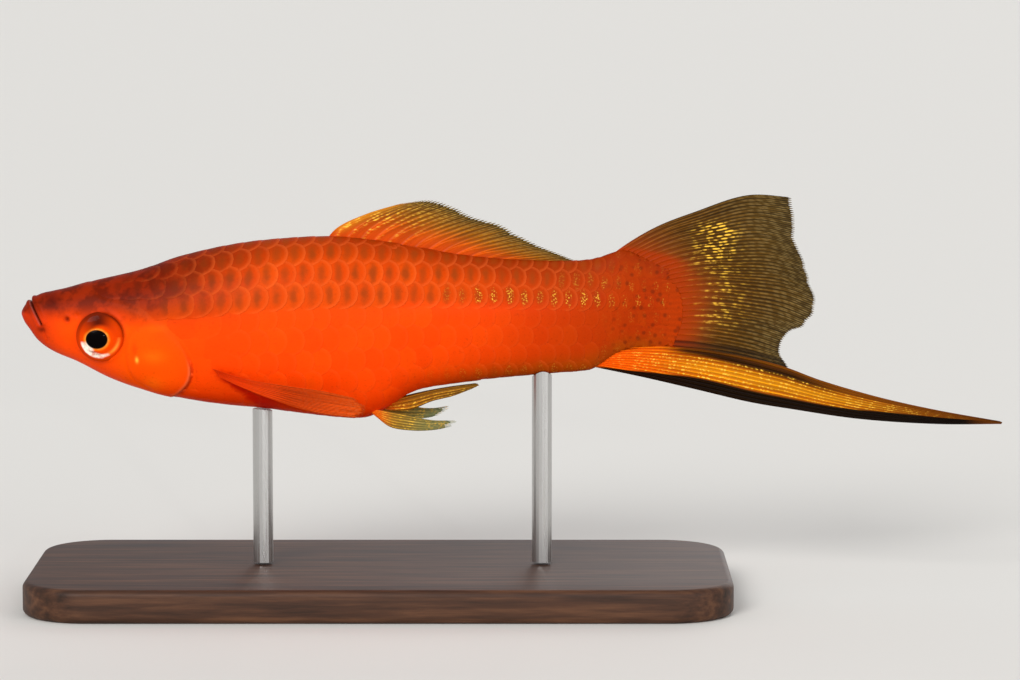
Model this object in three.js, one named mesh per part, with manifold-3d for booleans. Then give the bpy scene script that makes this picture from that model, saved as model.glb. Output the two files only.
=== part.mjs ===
// A male swordtail, a small freshwater fish, at life size on a plain display stand.
// Millimetres, +Z up. The fish faces -X and its left side faces -Y.
// The origin is on the floor, at the centre of the stand base's underside.
// Every outline below is in the fish's own frame: x runs back from the tip of the lips,
// z is up from the fish's axis, and y is out from the middle plane.

import * as THREE from 'three';
import { mergeVertices } from 'three/addons/utils/BufferGeometryUtils.js';
import Module from 'manifold-3d';

const wasm = await Module();
wasm.setup();

// Driving dimensions
const gap = 0.3; // between neighbouring pieces
const lipTipX = -43; // where the lips are, in the part's frame
const axisHeight = 34.8; // the fish's axis above the floor
const bodyHalfWidth = 5.7; // widest, behind the gill covers
const trunkEnd = 59; // behind the dorsal fin, where the tail stem starts
const tailStemEnd = 80.2; // end of the scaled root of the tail fin
const eyeCentre = { x: 9.4, y: 2.85, z: -3.3 };
const eyeHalfSize = { x: 3.2, y: 1.7, z: 3.2 };
const nostril = { x: 5.8, z: -0.75, radius: 0.42, depth: 0.7 };
const gillPlateThickness = 1.1;
const gillPlateRise = 0.2; // how far a gill cover stands proud of the head
const membrane = 0.5; // thickness of a fin between its rays
const rayHeight = 0.13; // how far a ray stands out of each face
const tipThickness = 0.22;
const rayCount = { dorsal: 13, caudal: 19, sword: 6, pectoral: 9, pelvic: 5, gonopodium: 3 };

const baseSize = { length: 84, width: 38, height: 4, corner: 8, easing: 0.7 };
const rodRadius = 1.2;
const rodPlaces = { front: 28.8, rear: 62.4 }; // behind the lips

// A smooth function through a few (x, value) points
function profile(points) {
  const slope = (i) => {
    const before = points[Math.max(i - 1, 0)];
    const after = points[Math.min(i + 1, points.length - 1)];
    return (after[1] - before[1]) / (after[0] - before[0]);
  };
  return (x) => {
    let i = 0;
    while (i < points.length - 2 && x > points[i + 1][0]) i += 1;
    const [x0, y0] = points[i];
    const [x1, y1] = points[i + 1];
    const span = x1 - x0;
    const t = Math.min(Math.max((x - x0) / span, 0), 1);
    const startShare = (1 + 2 * t) * (1 - t) ** 2;
    const endShare = t * t * (3 - 2 * t);
    const startTurn = t * (1 - t) ** 2 * span * slope(i);
    const endTurn = t * t * (t - 1) * span * slope(i + 1);
    return y0 * startShare + y1 * endShare + startTurn + endTurn;
  };
}

// The body: back line, belly line, half width, height of the widest place, roundness
const backLine = profile([
  [0, 0.3], [1, 1.15], [2.2, 1.95], [3.8, 2.35], [5.4, 2.7], [8.6, 3.6], [14.2, 4.9],
  [19, 6.5], [26, 8.05], [33.4, 8.8], [38.2, 8.85], [43, 8.35], [47.4, 7.7], [52, 6.8],
  [58, 6.15], [64, 5.95], [68.2, 6.15], [70.6, 6.9], [72.4, 7.3], [75.5, 6.0], [80.2, 4.0],
]);
const bellyLine = profile([
  [0, -0.9], [0.9, -2.1], [2, -3.6], [3.8, -4.9], [6.7, -6.15], [10.5, -8.1], [14.2, -9.45],
  [19, -10.6], [23.8, -11.35], [28.6, -11.75], [33.4, -12.4], [38.2, -12.95], [41, -13.0],
  [43, -12.3], [44.8, -11.1], [46.4, -10.1], [48.2, -9.45], [52, -8.85], [58, -8.15],
  [64, -7.6], [68.2, -7.2], [69.6, -6.2], [71.2, -4.6], [73.4, -4.0], [80.2, -3.6],
]);
const halfWidth = profile([
  [0, 1.0], [0.8, 1.65], [2, 2.15], [4, 2.75], [6.4, 3.3], [9.4, 3.85], [14, 4.8],
  [19, 5.35], [26, bodyHalfWidth], [34, 5.65], [41, 5.2], [47, 4.55], [53, 3.8], [59, 3.1],
  [65, 2.4], [69, 1.85], [73, 1.25], [77, 0.75], [80.2, 0.5],
]);
const widestShare = profile([[0, 0.5], [9, 0.42], [20, 0.46], [34, 0.5], [81, 0.52]]);
const upperRoundness = profile([[0, 2.3], [8, 2.6], [16, 2.3], [26, 1.95], [81, 1.9]]);
const lowerRoundness = profile([[0, 2.2], [14, 2.0], [30, 2.1], [44, 1.9], [81, 1.9]]);

// A point of the body's surface, at an angle round its section, grown outwards by `grow`
function bodyPoint(x, angle, grow = 0) {
  const top = backLine(x) + grow;
  const bottom = bellyLine(x) - grow;
  const middle = bottom + (top - bottom) * widestShare(x);
  const across = Math.cos(angle);
  const up = Math.sin(angle);
  const power = 2 / (up >= 0 ? upperRoundness(x) : lowerRoundness(x));
  const reach = up >= 0 ? top - middle : middle - bottom;
  return new THREE.Vector3(
    x,
    Math.sign(across) * Math.abs(across) ** power * (halfWidth(x) + grow),
    middle + Math.sign(up) * Math.abs(up) ** power * reach,
  );
}

// Closed mesh from rings of points, with a fan over each end
function closedRings(rings) {
  const around = rings[0].length;
  const positions = rings.flat().flatMap((p) => [p.x, p.y, p.z]);
  const index = [];
  for (let i = 0; i < rings.length - 1; i += 1) {
    for (let j = 0; j < around; j += 1) {
      const a = i * around + j;
      const b = i * around + ((j + 1) % around);
      index.push(a, b, a + around, b, b + around, a + around);
    }
  }
  for (const [ring, forwards] of [[0, true], [rings.length - 1, false]]) {
    const centre = rings[ring].reduce((sum, p) => sum.add(p), new THREE.Vector3());
    centre.divideScalar(around);
    const hub = positions.length / 3;
    positions.push(centre.x, centre.y, centre.z);
    for (let j = 0; j < around; j += 1) {
      const a = ring * around + j;
      const b = ring * around + ((j + 1) % around);
      index.push(hub, forwards ? b : a, forwards ? a : b);
    }
  }
  const geometry = new THREE.BufferGeometry();
  geometry.setAttribute('position', new THREE.Float32BufferAttribute(positions, 3));
  geometry.setIndex(index);
  return geometry;
}

// A length of the body, with its sections closer together at the snout
function bodyLength(start, end, { around = 28, step = 2.2, grow = 0 } = {}) {
  const stations = [start];
  while (stations.at(-1) < end - 1e-6) {
    const x = stations.at(-1);
    stations.push(Math.min(x + Math.min(step, 0.35 + 0.2 * Math.max(x, 0)), end));
  }
  const rings = stations.map((x) => Array.from({ length: around }, (unused, j) => {
    const point = bodyPoint(Math.max(x, 0), (2 * Math.PI * j) / around, grow);
    point.x = x;
    return point;
  }));
  return toSolid(closedRings(rings));
}

function toSolid(geometry) {
  const bare = geometry.clone();
  bare.deleteAttribute('normal');
  bare.deleteAttribute('uv');
  const merged = mergeVertices(bare, 1e-4);
  return new wasm.Manifold(new wasm.Mesh({
    numProp: 3,
    vertProperties: new Float32Array(merged.attributes.position.array),
    triVerts: new Uint32Array(merged.index.array),
  }));
}

function largestBody(solid) {
  const pieces = solid.decompose();
  return pieces.reduce((best, piece) => (piece.volume() > best.volume() ? piece : best));
}

function toGeometry(solid) {
  const mesh = largestBody(solid).simplify(0.004).getMesh();
  const geometry = new THREE.BufferGeometry();
  geometry.setAttribute('position', new THREE.BufferAttribute(mesh.vertProperties, 3));
  geometry.setIndex(new THREE.BufferAttribute(mesh.triVerts, 1));
  geometry.computeVertexNormals();
  return geometry;
}

// A flat outline in the side view, drawn out to both sides as a cutter
function sideCutter(outline, halfDepth = 20) {
  const shape = new THREE.Shape(outline.map(([x, z]) => new THREE.Vector2(x, z)));
  const geometry = new THREE.ExtrudeGeometry(shape, {
    depth: 2 * halfDepth, bevelEnabled: false,
  });
  geometry.rotateX(Math.PI / 2);
  geometry.translate(0, halfDepth, 0);
  return toSolid(geometry);
}

// A smooth curve in the side view through a few points, moved sideways by `shift`
function smoothLine(points, { pieces = 16, shift = 0, closed = false } = {}) {
  const curve = new THREE.CatmullRomCurve3(
    points.map(([x, z]) => new THREE.Vector3(x, z, 0)), closed, 'centripetal');
  return Array.from({ length: closed ? pieces : pieces + 1 }, (unused, i) => {
    const point = curve.getPoint(i / pieces);
    const along = curve.getTangent(i / pieces);
    return [point.x - shift * along.y, point.y + shift * along.x];
  });
}

// The gill opening, from the nape round to the throat: the head ends here
const gillOpening = [
  [11.2, 9.5], [13.6, 3.2], [16.6, -1.0], [19.4, -3.8], [20.5, -6.3], [20.2, -8.2],
  [18.8, -9.8], [16.8, -11.0], [14.6, -13.5],
];
function headCutter(shift) {
  const line = smoothLine(gillOpening, { shift });
  return sideCutter([...line, [-9, -13.5], [-9, 9.5]]);
}

// The gill cover's outline; its rear edge lies along the gill opening
function gillCutter(shift) {
  const front = [[19.6, -9.6], [16.4, -9.3], [14.4, -7.9], [13.1, -5.6], [13.3, -2.4], [15.2, -0.2]];
  const rear = [[18.4, -1.2], [21.2, -4.2], [21.8, -8.2]];
  return sideCutter(smoothLine([...front, ...rear], { pieces: 22, shift, closed: true }));
}

const sideBox = (side) => {
  const geometry = new THREE.BoxGeometry(200, 40, 200);
  geometry.translate(0, side * 20, 0);
  return toSolid(geometry);
};
const sides = { left: -1, right: 1 };

function ellipsoid(centre, size, grow, segments = 20) {
  const geometry = new THREE.SphereGeometry(1, segments, segments / 2);
  geometry.rotateX(Math.PI / 2);
  geometry.scale(size.x + grow, size.y + grow, size.z + grow);
  geometry.translate(centre.x, centre.y, centre.z);
  return toSolid(geometry);
}

// Mouth: it opens upwards, so its line runs steeply from the snout's top to the corner
const mouthTop = new THREE.Vector2(0.85, 1.15);
const mouthCorner = new THREE.Vector2(2.35, -1.65);
const mouthGap = 0.3;
const lipWidth = 0.55;
const lipRise = 0.22;

// A slab across the snout between two distances from the mouth line
function mouthSlab(near, far) {
  const along = mouthTop.clone().sub(mouthCorner).normalize();
  const forwards = new THREE.Vector2(-along.y, along.x);
  const above = mouthTop.clone().addScaledVector(along, 3);
  const corners = [[mouthCorner, near], [mouthCorner, far], [above, far], [above, near]];
  return sideCutter(corners.map(([point, distance]) => {
    const moved = point.clone().addScaledVector(forwards, distance);
    return [moved.x, moved.y];
  }), 3.2);
}

const body = bodyLength(0, tailStemEnd);
const bodyWithGap = bodyLength(-gap, tailStemEnd + gap, { grow: gap });

function makeHead() {
  const proud = bodyLength(-lipRise, 6, { grow: lipRise });
  const lips = proud.intersect(mouthSlab(-lipWidth, 0).add(mouthSlab(0, lipWidth)));
  const core = bodyLength(0.9, 8, { grow: -0.8 });
  const mouthLine = mouthSlab(-mouthGap / 2, mouthGap / 2).subtract(core);
  const innerCore = bodyLength(1.5, 40, { grow: -(gillPlateThickness + gap) });
  let head = body.intersect(headCutter(-gap / 2)).add(lips).subtract(mouthLine);
  head = head.subtract(gillCutter(gap).subtract(innerCore));
  for (const side of Object.values(sides)) {
    const centre = { ...eyeCentre, y: side * eyeCentre.y };
    head = head.subtract(ellipsoid(centre, eyeHalfSize, gap));
    const pit = new THREE.CylinderGeometry(nostril.radius, nostril.radius, 2 * nostril.depth, 10);
    const depth = bodyPoint(nostril.x, 0.35).y;
    pit.translate(nostril.x, side * depth, nostril.z);
    head = head.subtract(toSolid(pit));
  }
  return head;
}

function makeGillCover(side) {
  const raised = bodyLength(8, 24, { grow: gillPlateRise });
  const inside = bodyLength(7, 25, { grow: -gillPlateThickness });
  return raised.subtract(inside).intersect(gillCutter(0)).intersect(headCutter(-gap / 2))
    .intersect(sideBox(side));
}

function makeTrunk() {
  return bodyLength(10, trunkEnd).subtract(headCutter(gap / 2));
}

function makeTailStem() {
  return bodyLength(trunkEnd + gap, tailStemEnd, { around: 24, step: 1.8 });
}

// A fin: rays run from its root line to its tip line, between its first and last rays.
// Each line has a few points, and the surface between them is blended from all four.
// The membrane falls short of the rays' ends by a share of their length, the notch.
function fin({
  root, tip, firstRay, lastRay, rays, along = 7, outwards, thick = membrane, notch = 0.03,
}) {
  const curves = [root, tip, firstRay, lastRay].map((points) => new THREE.CatmullRomCurve3(
    points.map(([x, z]) => new THREE.Vector3(x, 0, z)), false, 'centripetal'));
  const [rootLine, tipLine, firstLine, lastLine] = curves;
  const surface = (u, v) => {
    const p = rootLine.getPointAt(v).multiplyScalar(1 - u);
    p.addScaledVector(tipLine.getPointAt(v), u);
    p.addScaledVector(firstLine.getPointAt(u), 1 - v);
    p.addScaledVector(lastLine.getPointAt(u), v);
    p.addScaledVector(rootLine.getPointAt(0), -(1 - u) * (1 - v));
    p.addScaledVector(rootLine.getPointAt(1), -(1 - u) * v);
    p.addScaledVector(tipLine.getPointAt(0), -u * (1 - v));
    p.addScaledVector(tipLine.getPointAt(1), -u * v);
    return p;
  };
  const across = 2 * rays;
  const faces = [[], []];
  for (let i = 0; i <= along; i += 1) {
    for (let j = 0; j <= across; j += 1) {
      const onRay = j % 2 === 1;
      const unevenness = 1 + 0.6 * Math.sin(j * 2.3);
      const u = (i / along) * (onRay ? 1 : 1 - notch * unevenness);
      const point = surface(u, j / across);
      const ridge = onRay ? rayHeight : 0;
      const thinning = 1 - u ** 3;
      const half = (tipThickness + (thick - tipThickness) * thinning) / 2 + ridge * (1 - u * u);
      const middle = outwards(point.x, point.z, u);
      faces[0].push(point.x, middle - half, point.z);
      faces[1].push(point.x, middle + half, point.z);
    }
  }
  const columns = across + 1;
  const count = (along + 1) * columns;
  const index = [];
  const quad = (a, b, c, d) => index.push(a, b, c, a, c, d);
  for (let i = 0; i < along; i += 1) {
    for (let j = 0; j < across; j += 1) {
      const a = i * columns + j;
      index.push(a, a + 1, a + columns + 1, a, a + columns + 1, a + columns);
      index.push(a + count, a + count + columns + 1, a + count + 1);
      index.push(a + count, a + count + columns, a + count + columns + 1);
    }
  }
  for (let i = 0; i < along; i += 1) {
    const first = i * columns;
    const last = first + across;
    quad(first, first + columns, first + columns + count, first + count);
    quad(last + columns, last, last + count, last + columns + count);
  }
  for (let j = 0; j < across; j += 1) {
    const end = along * columns + j;
    quad(j + 1, j, j + count, j + 1 + count);
    quad(end, end + 1, end + 1 + count, end + count);
  }
  const geometry = new THREE.BufferGeometry();
  geometry.setAttribute('position', new THREE.Float32BufferAttribute(faces.flat(), 3));
  geometry.setIndex(index);
  return toSolid(geometry).subtract(bodyWithGap);
}

// The tail fin and the sword lean a little to the right as they go back
const tailSway = (x) => 1.4 * (Math.max(x - 72, 0) / 46) ** 2;

function makeDorsalFin() {
  return fin({
    root: [[36.2, 8.0], [43, 7.4], [50, 6.2], [58.4, 5.2]],
    firstRay: [[36.2, 8.0], [37.8, 9.85], [41.2, 11.5], [45.6, 12.85]],
    tip: [[45.6, 12.85], [49.3, 13.2], [52.9, 12.0], [57.1, 10.45], [61.6, 8.05], [66.6, 6.5]],
    lastRay: [[58.4, 5.2], [60.4, 6.2], [63.6, 6.5], [66.6, 6.5]],
    rays: rayCount.dorsal,
    outwards: (x, z, u) => 0.25 * Math.sin(u * 2.2),
  });
}

function makeCaudalFan() {
  return fin({
    root: [[69.4, 5.6], [73, 6.0], [76.8, 4.4], [79.2, 2.6], [79.4, -1.0], [79.0, -3.4]],
    firstRay: [[69.4, 5.6], [72.4, 7.9], [76.2, 10.1], [80.6, 11.8], [87, 13.8], [92.6, 13.5]],
    tip: [
      [92.6, 13.5], [92.8, 9.0], [94.0, 5.4], [94.6, 3.4], [95.5, 1.0], [94.0, -1.8],
      [92.0, -2.6], [90.6, -5.0], [91.0, -6.3],
    ],
    lastRay: [[79.0, -3.4], [83, -4.0], [87, -4.9], [91.0, -6.3]],
    rays: rayCount.caudal,
    along: 8,
    outwards: (x, z, u) => tailSway(x) + 0.35 * Math.sin(z * 0.55) * u,
  });
}

function makeSword() {
  return fin({
    root: [[69.4, -4.8], [69.0, -5.8], [68.4, -6.8]],
    firstRay: [
      [69.4, -4.8], [74, -4.35], [79.6, -4.5], [85.6, -5.35], [91.2, -6.75], [95.9, -8.5],
      [103, -10.6], [110, -12.2], [117.6, -13.6],
    ],
    tip: [[117.6, -13.6], [117.9, -13.75], [117.8, -13.95]],
    lastRay: [
      [68.4, -6.8], [74.6, -8.1], [81, -9.6], [87.5, -11.15], [92.5, -12.0], [100.4, -13.2],
      [110, -13.9], [117.8, -13.95],
    ],
    rays: rayCount.sword,
    notch: 0,
    along: 16,
    outwards: (x) => tailSway(x),
    thick: 0.8,
  });
}

// Folded back along the belly, standing a little off it
function makePectoralFin(side) {
  return fin({
    root: [[23.2, -6.6], [23.8, -7.3], [24.2, -8.0]],
    firstRay: [[23.2, -6.6], [26.8, -7.9], [31.4, -8.9], [36, -9.4], [40.3, -10.7]],
    tip: [[40.3, -10.7], [40.7, -11.5], [39.9, -12.7]],
    lastRay: [[24.2, -8.0], [26.4, -9.3], [30.6, -11.2], [35.6, -12.6], [39.9, -12.7]],
    rays: rayCount.pectoral,
    outwards: (x) => side * (5.45 + 0.105 * (x - 23) + 0.25 * Math.sin((x - 23) / 5)),
  });
}

function makePelvicFin(side) {
  const lift = side < 0 ? 0 : 0.9; // the far fin is folded closer to the body
  const raised = (points) => points.map(([x, z], i) => [x - lift, z + (i ? lift : 0)]);
  return fin({
    root: [[41.4, -12.3], [41.8, -13.0], [42.2, -13.6]],
    firstRay: raised([[41.4, -12.3], [45.4, -12.4], [49.2, -13.0], [51.8, -13.0]]),
    tip: raised([[51.8, -13.0], [52.5, -13.2], [51.4, -13.8]]),
    lastRay: raised([[42.2, -13.6], [46.2, -14.3], [49.4, -14.2], [51.4, -13.8]]),
    rays: rayCount.pelvic,
    outwards: (x) => side * (1.3 + 0.11 * (x - 41)),
  });
}

// The male's rod-like anal fin, folded back under the tail stem
function makeGonopodium() {
  return fin({
    root: [[43.4, -11.0], [43.4, -11.6], [43.6, -12.1]],
    firstRay: [[43.4, -11.0], [46.4, -10.2], [48.6, -9.7], [51.4, -9.2], [54.5, -8.8]],
    tip: [[54.5, -8.8], [54.9, -9.0], [54.0, -9.5]],
    lastRay: [[43.6, -12.1], [46.6, -12.0], [49.2, -11.0], [51.6, -10.4], [54.0, -9.5]],
    rays: rayCount.gonopodium,
    notch: 0.01,
    outwards: () => 0,
    thick: 0.85,
  });
}

function makeEye(side) {
  return ellipsoid({ ...eyeCentre, y: side * eyeCentre.y }, eyeHalfSize, 0);
}

function makeBase() {
  const { length, width, height, corner, easing } = baseSize;
  const shape = new THREE.Shape();
  const right = length / 2;
  const top = width / 2;
  shape.moveTo(-right + corner, -top);
  shape.lineTo(right - corner, -top);
  shape.absarc(right - corner, -top + corner, corner, -Math.PI / 2, 0);
  shape.lineTo(right, top - corner);
  shape.absarc(right - corner, top - corner, corner, 0, Math.PI / 2);
  shape.lineTo(-right + corner, top);
  shape.absarc(-right + corner, top - corner, corner, Math.PI / 2, Math.PI);
  shape.lineTo(-right, -top + corner);
  shape.absarc(-right + corner, -top + corner, corner, Math.PI, 1.5 * Math.PI);
  const geometry = new THREE.ExtrudeGeometry(shape, {
    depth: height - 2 * easing, curveSegments: 7, bevelSegments: 2,
    bevelThickness: easing, bevelSize: easing, bevelOffset: -easing,
  });
  geometry.translate(0, 0, easing);
  return toSolid(geometry);
}

// A rod from the base up to the belly, cut to the belly's shape
function makeRod(place) {
  const bottom = baseSize.height + gap;
  const top = axisHeight + bellyLine(place) + 4;
  const geometry = new THREE.CylinderGeometry(rodRadius, rodRadius, top - bottom, 20);
  geometry.rotateX(Math.PI / 2);
  geometry.translate(lipTipX + place, 0, (top + bottom) / 2);
  return toSolid(geometry).subtract(bodyWithGap.translate([lipTipX, 0, axisHeight]));
}

const materials = {
  flesh: new THREE.MeshStandardMaterial({ color: 0xe8480a, roughness: 0.35, metalness: 0 }),
  crown: new THREE.MeshStandardMaterial({ color: 0xb02c06, roughness: 0.35, metalness: 0 }),
  fin: new THREE.MeshStandardMaterial({ color: 0x9a5a18, roughness: 0.4, metalness: 0 }),
  tail: new THREE.MeshStandardMaterial({ color: 0x6b4314, roughness: 0.4, metalness: 0 }),
  sword: new THREE.MeshStandardMaterial({ color: 0xe09018, roughness: 0.35, metalness: 0 }),
  eye: new THREE.MeshStandardMaterial({ color: 0x1c0e09, roughness: 0.08, metalness: 0 }),
  wood: new THREE.MeshStandardMaterial({ color: 0x2e211a, roughness: 0.45, metalness: 0 }),
  steel: new THREE.MeshStandardMaterial({ color: 0xb8b8ba, roughness: 0.3, metalness: 1 }),
};

function piece(name, solid, material) {
  const mesh = new THREE.Mesh(toGeometry(solid), material);
  mesh.name = name;
  return mesh;
}

const fish = new THREE.Group();
fish.position.set(lipTipX, 0, axisHeight);
fish.add(
  piece('head', makeHead(), materials.crown),
  piece('trunk', makeTrunk(), materials.flesh),
  piece('tail_stem', makeTailStem(), materials.flesh),
  piece('dorsal_fin', makeDorsalFin(), materials.fin),
  piece('caudal_fan', makeCaudalFan(), materials.tail),
  piece('sword', makeSword(), materials.sword),
  piece('gonopodium', makeGonopodium(), materials.fin),
);
for (const [name, side] of Object.entries(sides)) {
  fish.add(
    piece(`gill_cover_${name}`, makeGillCover(side), materials.flesh),
    piece(`eye_${name}`, makeEye(side), materials.eye),
    piece(`pectoral_fin_${name}`, makePectoralFin(side), materials.fin),
    piece(`pelvic_fin_${name}`, makePelvicFin(side), materials.fin),
  );
}

const model = new THREE.Group();
model.add(fish, piece('stand_base', makeBase(), materials.wood));
for (const [name, place] of Object.entries(rodPlaces)) {
  model.add(piece(`stand_rod_${name}`, makeRod(place), materials.steel));
}

export default model;
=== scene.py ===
# A life-size male swordtail on a plain display stand: skin, scales, rayed fins and eyes.
# The file is laid out as a Blender add-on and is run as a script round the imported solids.
# Shapes are worked out in millimetres in the fish's own frame: x runs back from the tip of
# the lips, y is out to its right side and z is up from its axis.

import math

import bpy
import numpy as np
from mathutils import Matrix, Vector


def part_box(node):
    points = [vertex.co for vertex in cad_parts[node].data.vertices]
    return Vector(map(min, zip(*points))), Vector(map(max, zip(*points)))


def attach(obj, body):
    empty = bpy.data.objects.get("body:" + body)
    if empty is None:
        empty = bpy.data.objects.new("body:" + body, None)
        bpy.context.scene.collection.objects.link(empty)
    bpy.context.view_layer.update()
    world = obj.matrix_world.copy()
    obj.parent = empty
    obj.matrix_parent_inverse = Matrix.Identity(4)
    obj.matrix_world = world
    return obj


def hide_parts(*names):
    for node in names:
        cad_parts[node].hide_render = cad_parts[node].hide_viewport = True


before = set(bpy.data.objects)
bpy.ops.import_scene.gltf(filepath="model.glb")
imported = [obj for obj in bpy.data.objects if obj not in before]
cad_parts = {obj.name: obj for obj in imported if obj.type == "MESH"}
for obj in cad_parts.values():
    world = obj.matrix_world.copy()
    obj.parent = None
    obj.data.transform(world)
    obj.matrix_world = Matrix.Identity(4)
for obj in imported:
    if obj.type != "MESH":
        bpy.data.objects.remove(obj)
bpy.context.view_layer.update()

bl_info = {
    "name": "Swordtail on a stand",
    "version": (1, 0, 0),
    "blender": (4, 5, 0),
    "location": "View3D > Sidebar > Swordtail",
    "description": "Skin, scales, rayed fins, eyes and stand for the swordtail's solids",
    "category": "Object",
}

MM = 0.001
BODY = "root"
SEED = 7

# The fish's frame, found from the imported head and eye
EYE_LOW, EYE_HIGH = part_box("eye_left")
EYE_NODE_HEIGHT = -3.3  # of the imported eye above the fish's axis
FISH_ORIGIN = np.array([
    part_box("head")[0].x, 0.0, (EYE_LOW.z + EYE_HIGH.z) / 2 - EYE_NODE_HEIGHT * MM])
EYE_X, EYE_Z = 9.86, -2.76
SIDES = {"left": -1, "right": 1}

# Real sizes of the patterns in the materials, in millimetres
BLOTCH = 2.381
SUNK_SCALE = 1.7857
FRECKLE_GAP = 0.9524
PIGMENT_CELL = 0.3125
SKIN_GRAIN = 0.1923
RAGGED_PATCH = 1.0
GOLD_SPECK = 0.2174
GLINT_PATCH = 0.9091
RAY_STREAK = 6.25
IRIS_STREAK = 0.5556
GRAIN_LENGTH, GRAIN_WIDTH = 16.667, 1.1111
SCRATCH_LENGTH, SCRATCH_WIDTH = 8.3333, 0.2  # scratches as fine as shows


# Curves and surfaces

def profile(points):
    """A smooth function through a few (x, value) points."""
    at = np.array([p[0] for p in points], float)
    value = np.array([p[1] for p in points], float)
    last = len(at) - 1
    before = np.maximum(np.arange(last + 1) - 1, 0)
    after = np.minimum(np.arange(last + 1) + 1, last)
    slope = (value[after] - value[before]) / (at[after] - at[before])

    def smooth_value(x):
        x = np.asarray(x, float)
        i = np.clip(np.searchsorted(at, x, side="left") - 1, 0, last - 1)
        span = at[i + 1] - at[i]
        t = np.clip((x - at[i]) / span, 0, 1)
        ends = value[i] * (1 + 2 * t) * (1 - t) ** 2 + value[i + 1] * t * t * (3 - 2 * t)
        turns = slope[i] * t * (1 - t) ** 2 + slope[i + 1] * t * t * (t - 1)
        return ends + turns * span

    return smooth_value


def smooth(low, high, x):
    """0 below low, 1 above high, and an easy slope between; high may be the lower one."""
    t = np.clip((np.asarray(x, float) - low) / (high - low), 0, 1)
    return t * t * (3 - 2 * t)


def bump(x, centre, width):
    """A soft hump, 1 at its centre."""
    return np.exp(-((np.asarray(x, float) - centre) / width) ** 2)


def line_through(points):
    """A smooth line through a few points; the function returned takes 0 to 1 along it."""
    samples = 240
    p = np.array(points, float)
    p = np.vstack([2 * p[0] - p[1], p, 2 * p[-1] - p[-2]])
    pieces = []
    t = np.linspace(0, 1, samples // (len(points) - 1) + 2)[:, None]
    for i in range(1, len(p) - 2):
        a, b, c = [np.linalg.norm(p[i + k] - p[i + k - 1]) ** 0.5 for k in (0, 1, 2)]
        start = (p[i] - p[i - 1]) / a - (p[i + 1] - p[i - 1]) / (a + b) + (p[i + 1] - p[i]) / b
        end = (p[i + 1] - p[i]) / b - (p[i + 2] - p[i]) / (b + c) + (p[i + 2] - p[i + 1]) / c
        start, end = start * b, end * b
        pieces.append(
            p[i] + start * t + (3 * (p[i + 1] - p[i]) - 2 * start - end) * t ** 2
            + (2 * (p[i] - p[i + 1]) + start + end) * t ** 3
        )
    line = np.vstack([pieces[0]] + [piece[1:] for piece in pieces[1:]])
    along = np.concatenate([[0], np.cumsum(np.linalg.norm(np.diff(line, axis=0), axis=1))])
    along /= along[-1]
    return lambda s: np.stack([np.interp(s, along, line[:, k]) for k in range(line.shape[1])], -1)


def distance_to(line, x, z):
    """Distance from a line in the side view, positive on its left as it runs."""
    nearest = np.full(np.shape(x), 1e9)
    for (x0, z0), (x1, z1) in zip(line[:-1], line[1:]):
        dx, dz = x1 - x0, z1 - z0
        t = np.clip(((x - x0) * dx + (z - z0) * dz) / (dx * dx + dz * dz), 0, 1)
        ex, ez = x - x0 - t * dx, z - z0 - t * dz
        away = np.hypot(ex, ez)
        side = np.where(dx * ez - dz * ex >= 0, 1, -1)
        nearest = np.where(away < np.abs(nearest), away * side, nearest)
    return nearest


# The body's form, the same as in the solids
back_line = profile([
    [0, 0.3], [1, 1.15], [2.2, 1.95], [3.8, 2.35], [5.4, 2.7], [8.6, 3.6], [14.2, 4.9],
    [19, 6.5], [26, 8.05], [33.4, 8.8], [38.2, 8.85], [43, 8.35], [47.4, 7.7], [52, 6.8],
    [58, 6.15], [64, 5.95], [68.2, 6.15], [70.6, 6.9], [72.4, 7.3], [75.5, 6.0], [80.2, 4.0],
])
belly_line = profile([
    [0, -0.9], [0.9, -2.1], [2, -3.6], [3.8, -4.9], [6.7, -6.15], [10.5, -8.1], [14.2, -9.45],
    [19, -10.6], [23.8, -11.35], [28.6, -11.75], [33.4, -12.4], [38.2, -12.95], [41, -13.0],
    [43, -12.3], [44.8, -11.1], [46.4, -10.1], [48.2, -9.45], [52, -8.85], [58, -8.15],
    [64, -7.6], [68.2, -7.2], [69.8, -6.3], [71.6, -5.2], [74, -4.75], [80.2, -4.6],
])
half_width = profile([
    [0, 1.0], [0.8, 1.65], [2, 2.15], [4, 2.75], [6.4, 3.3], [9.4, 3.85], [14, 4.8],
    [19, 5.35], [26, 5.7], [34, 5.65], [41, 5.2], [47, 4.55], [53, 3.8], [59, 3.1],
    [65, 2.4], [69, 1.85], [73, 1.1], [76, 0.52], [77.8, 0.2], [79.2, 0.05], [80.0, 0.012],
    [81.4, 0.004],
])
widest_share = profile([[0, 0.5], [9, 0.42], [20, 0.46], [34, 0.5], [81, 0.52]])
upper_roundness = profile([[0, 2.3], [8, 2.6], [16, 2.3], [26, 1.95], [81, 1.9]])
lower_roundness = profile([[0, 2.2], [14, 2.0], [30, 2.1], [44, 1.9], [81, 1.9]])
SKIN_END = 81.2
NOSE_ROUNDING = 0.6

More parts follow.
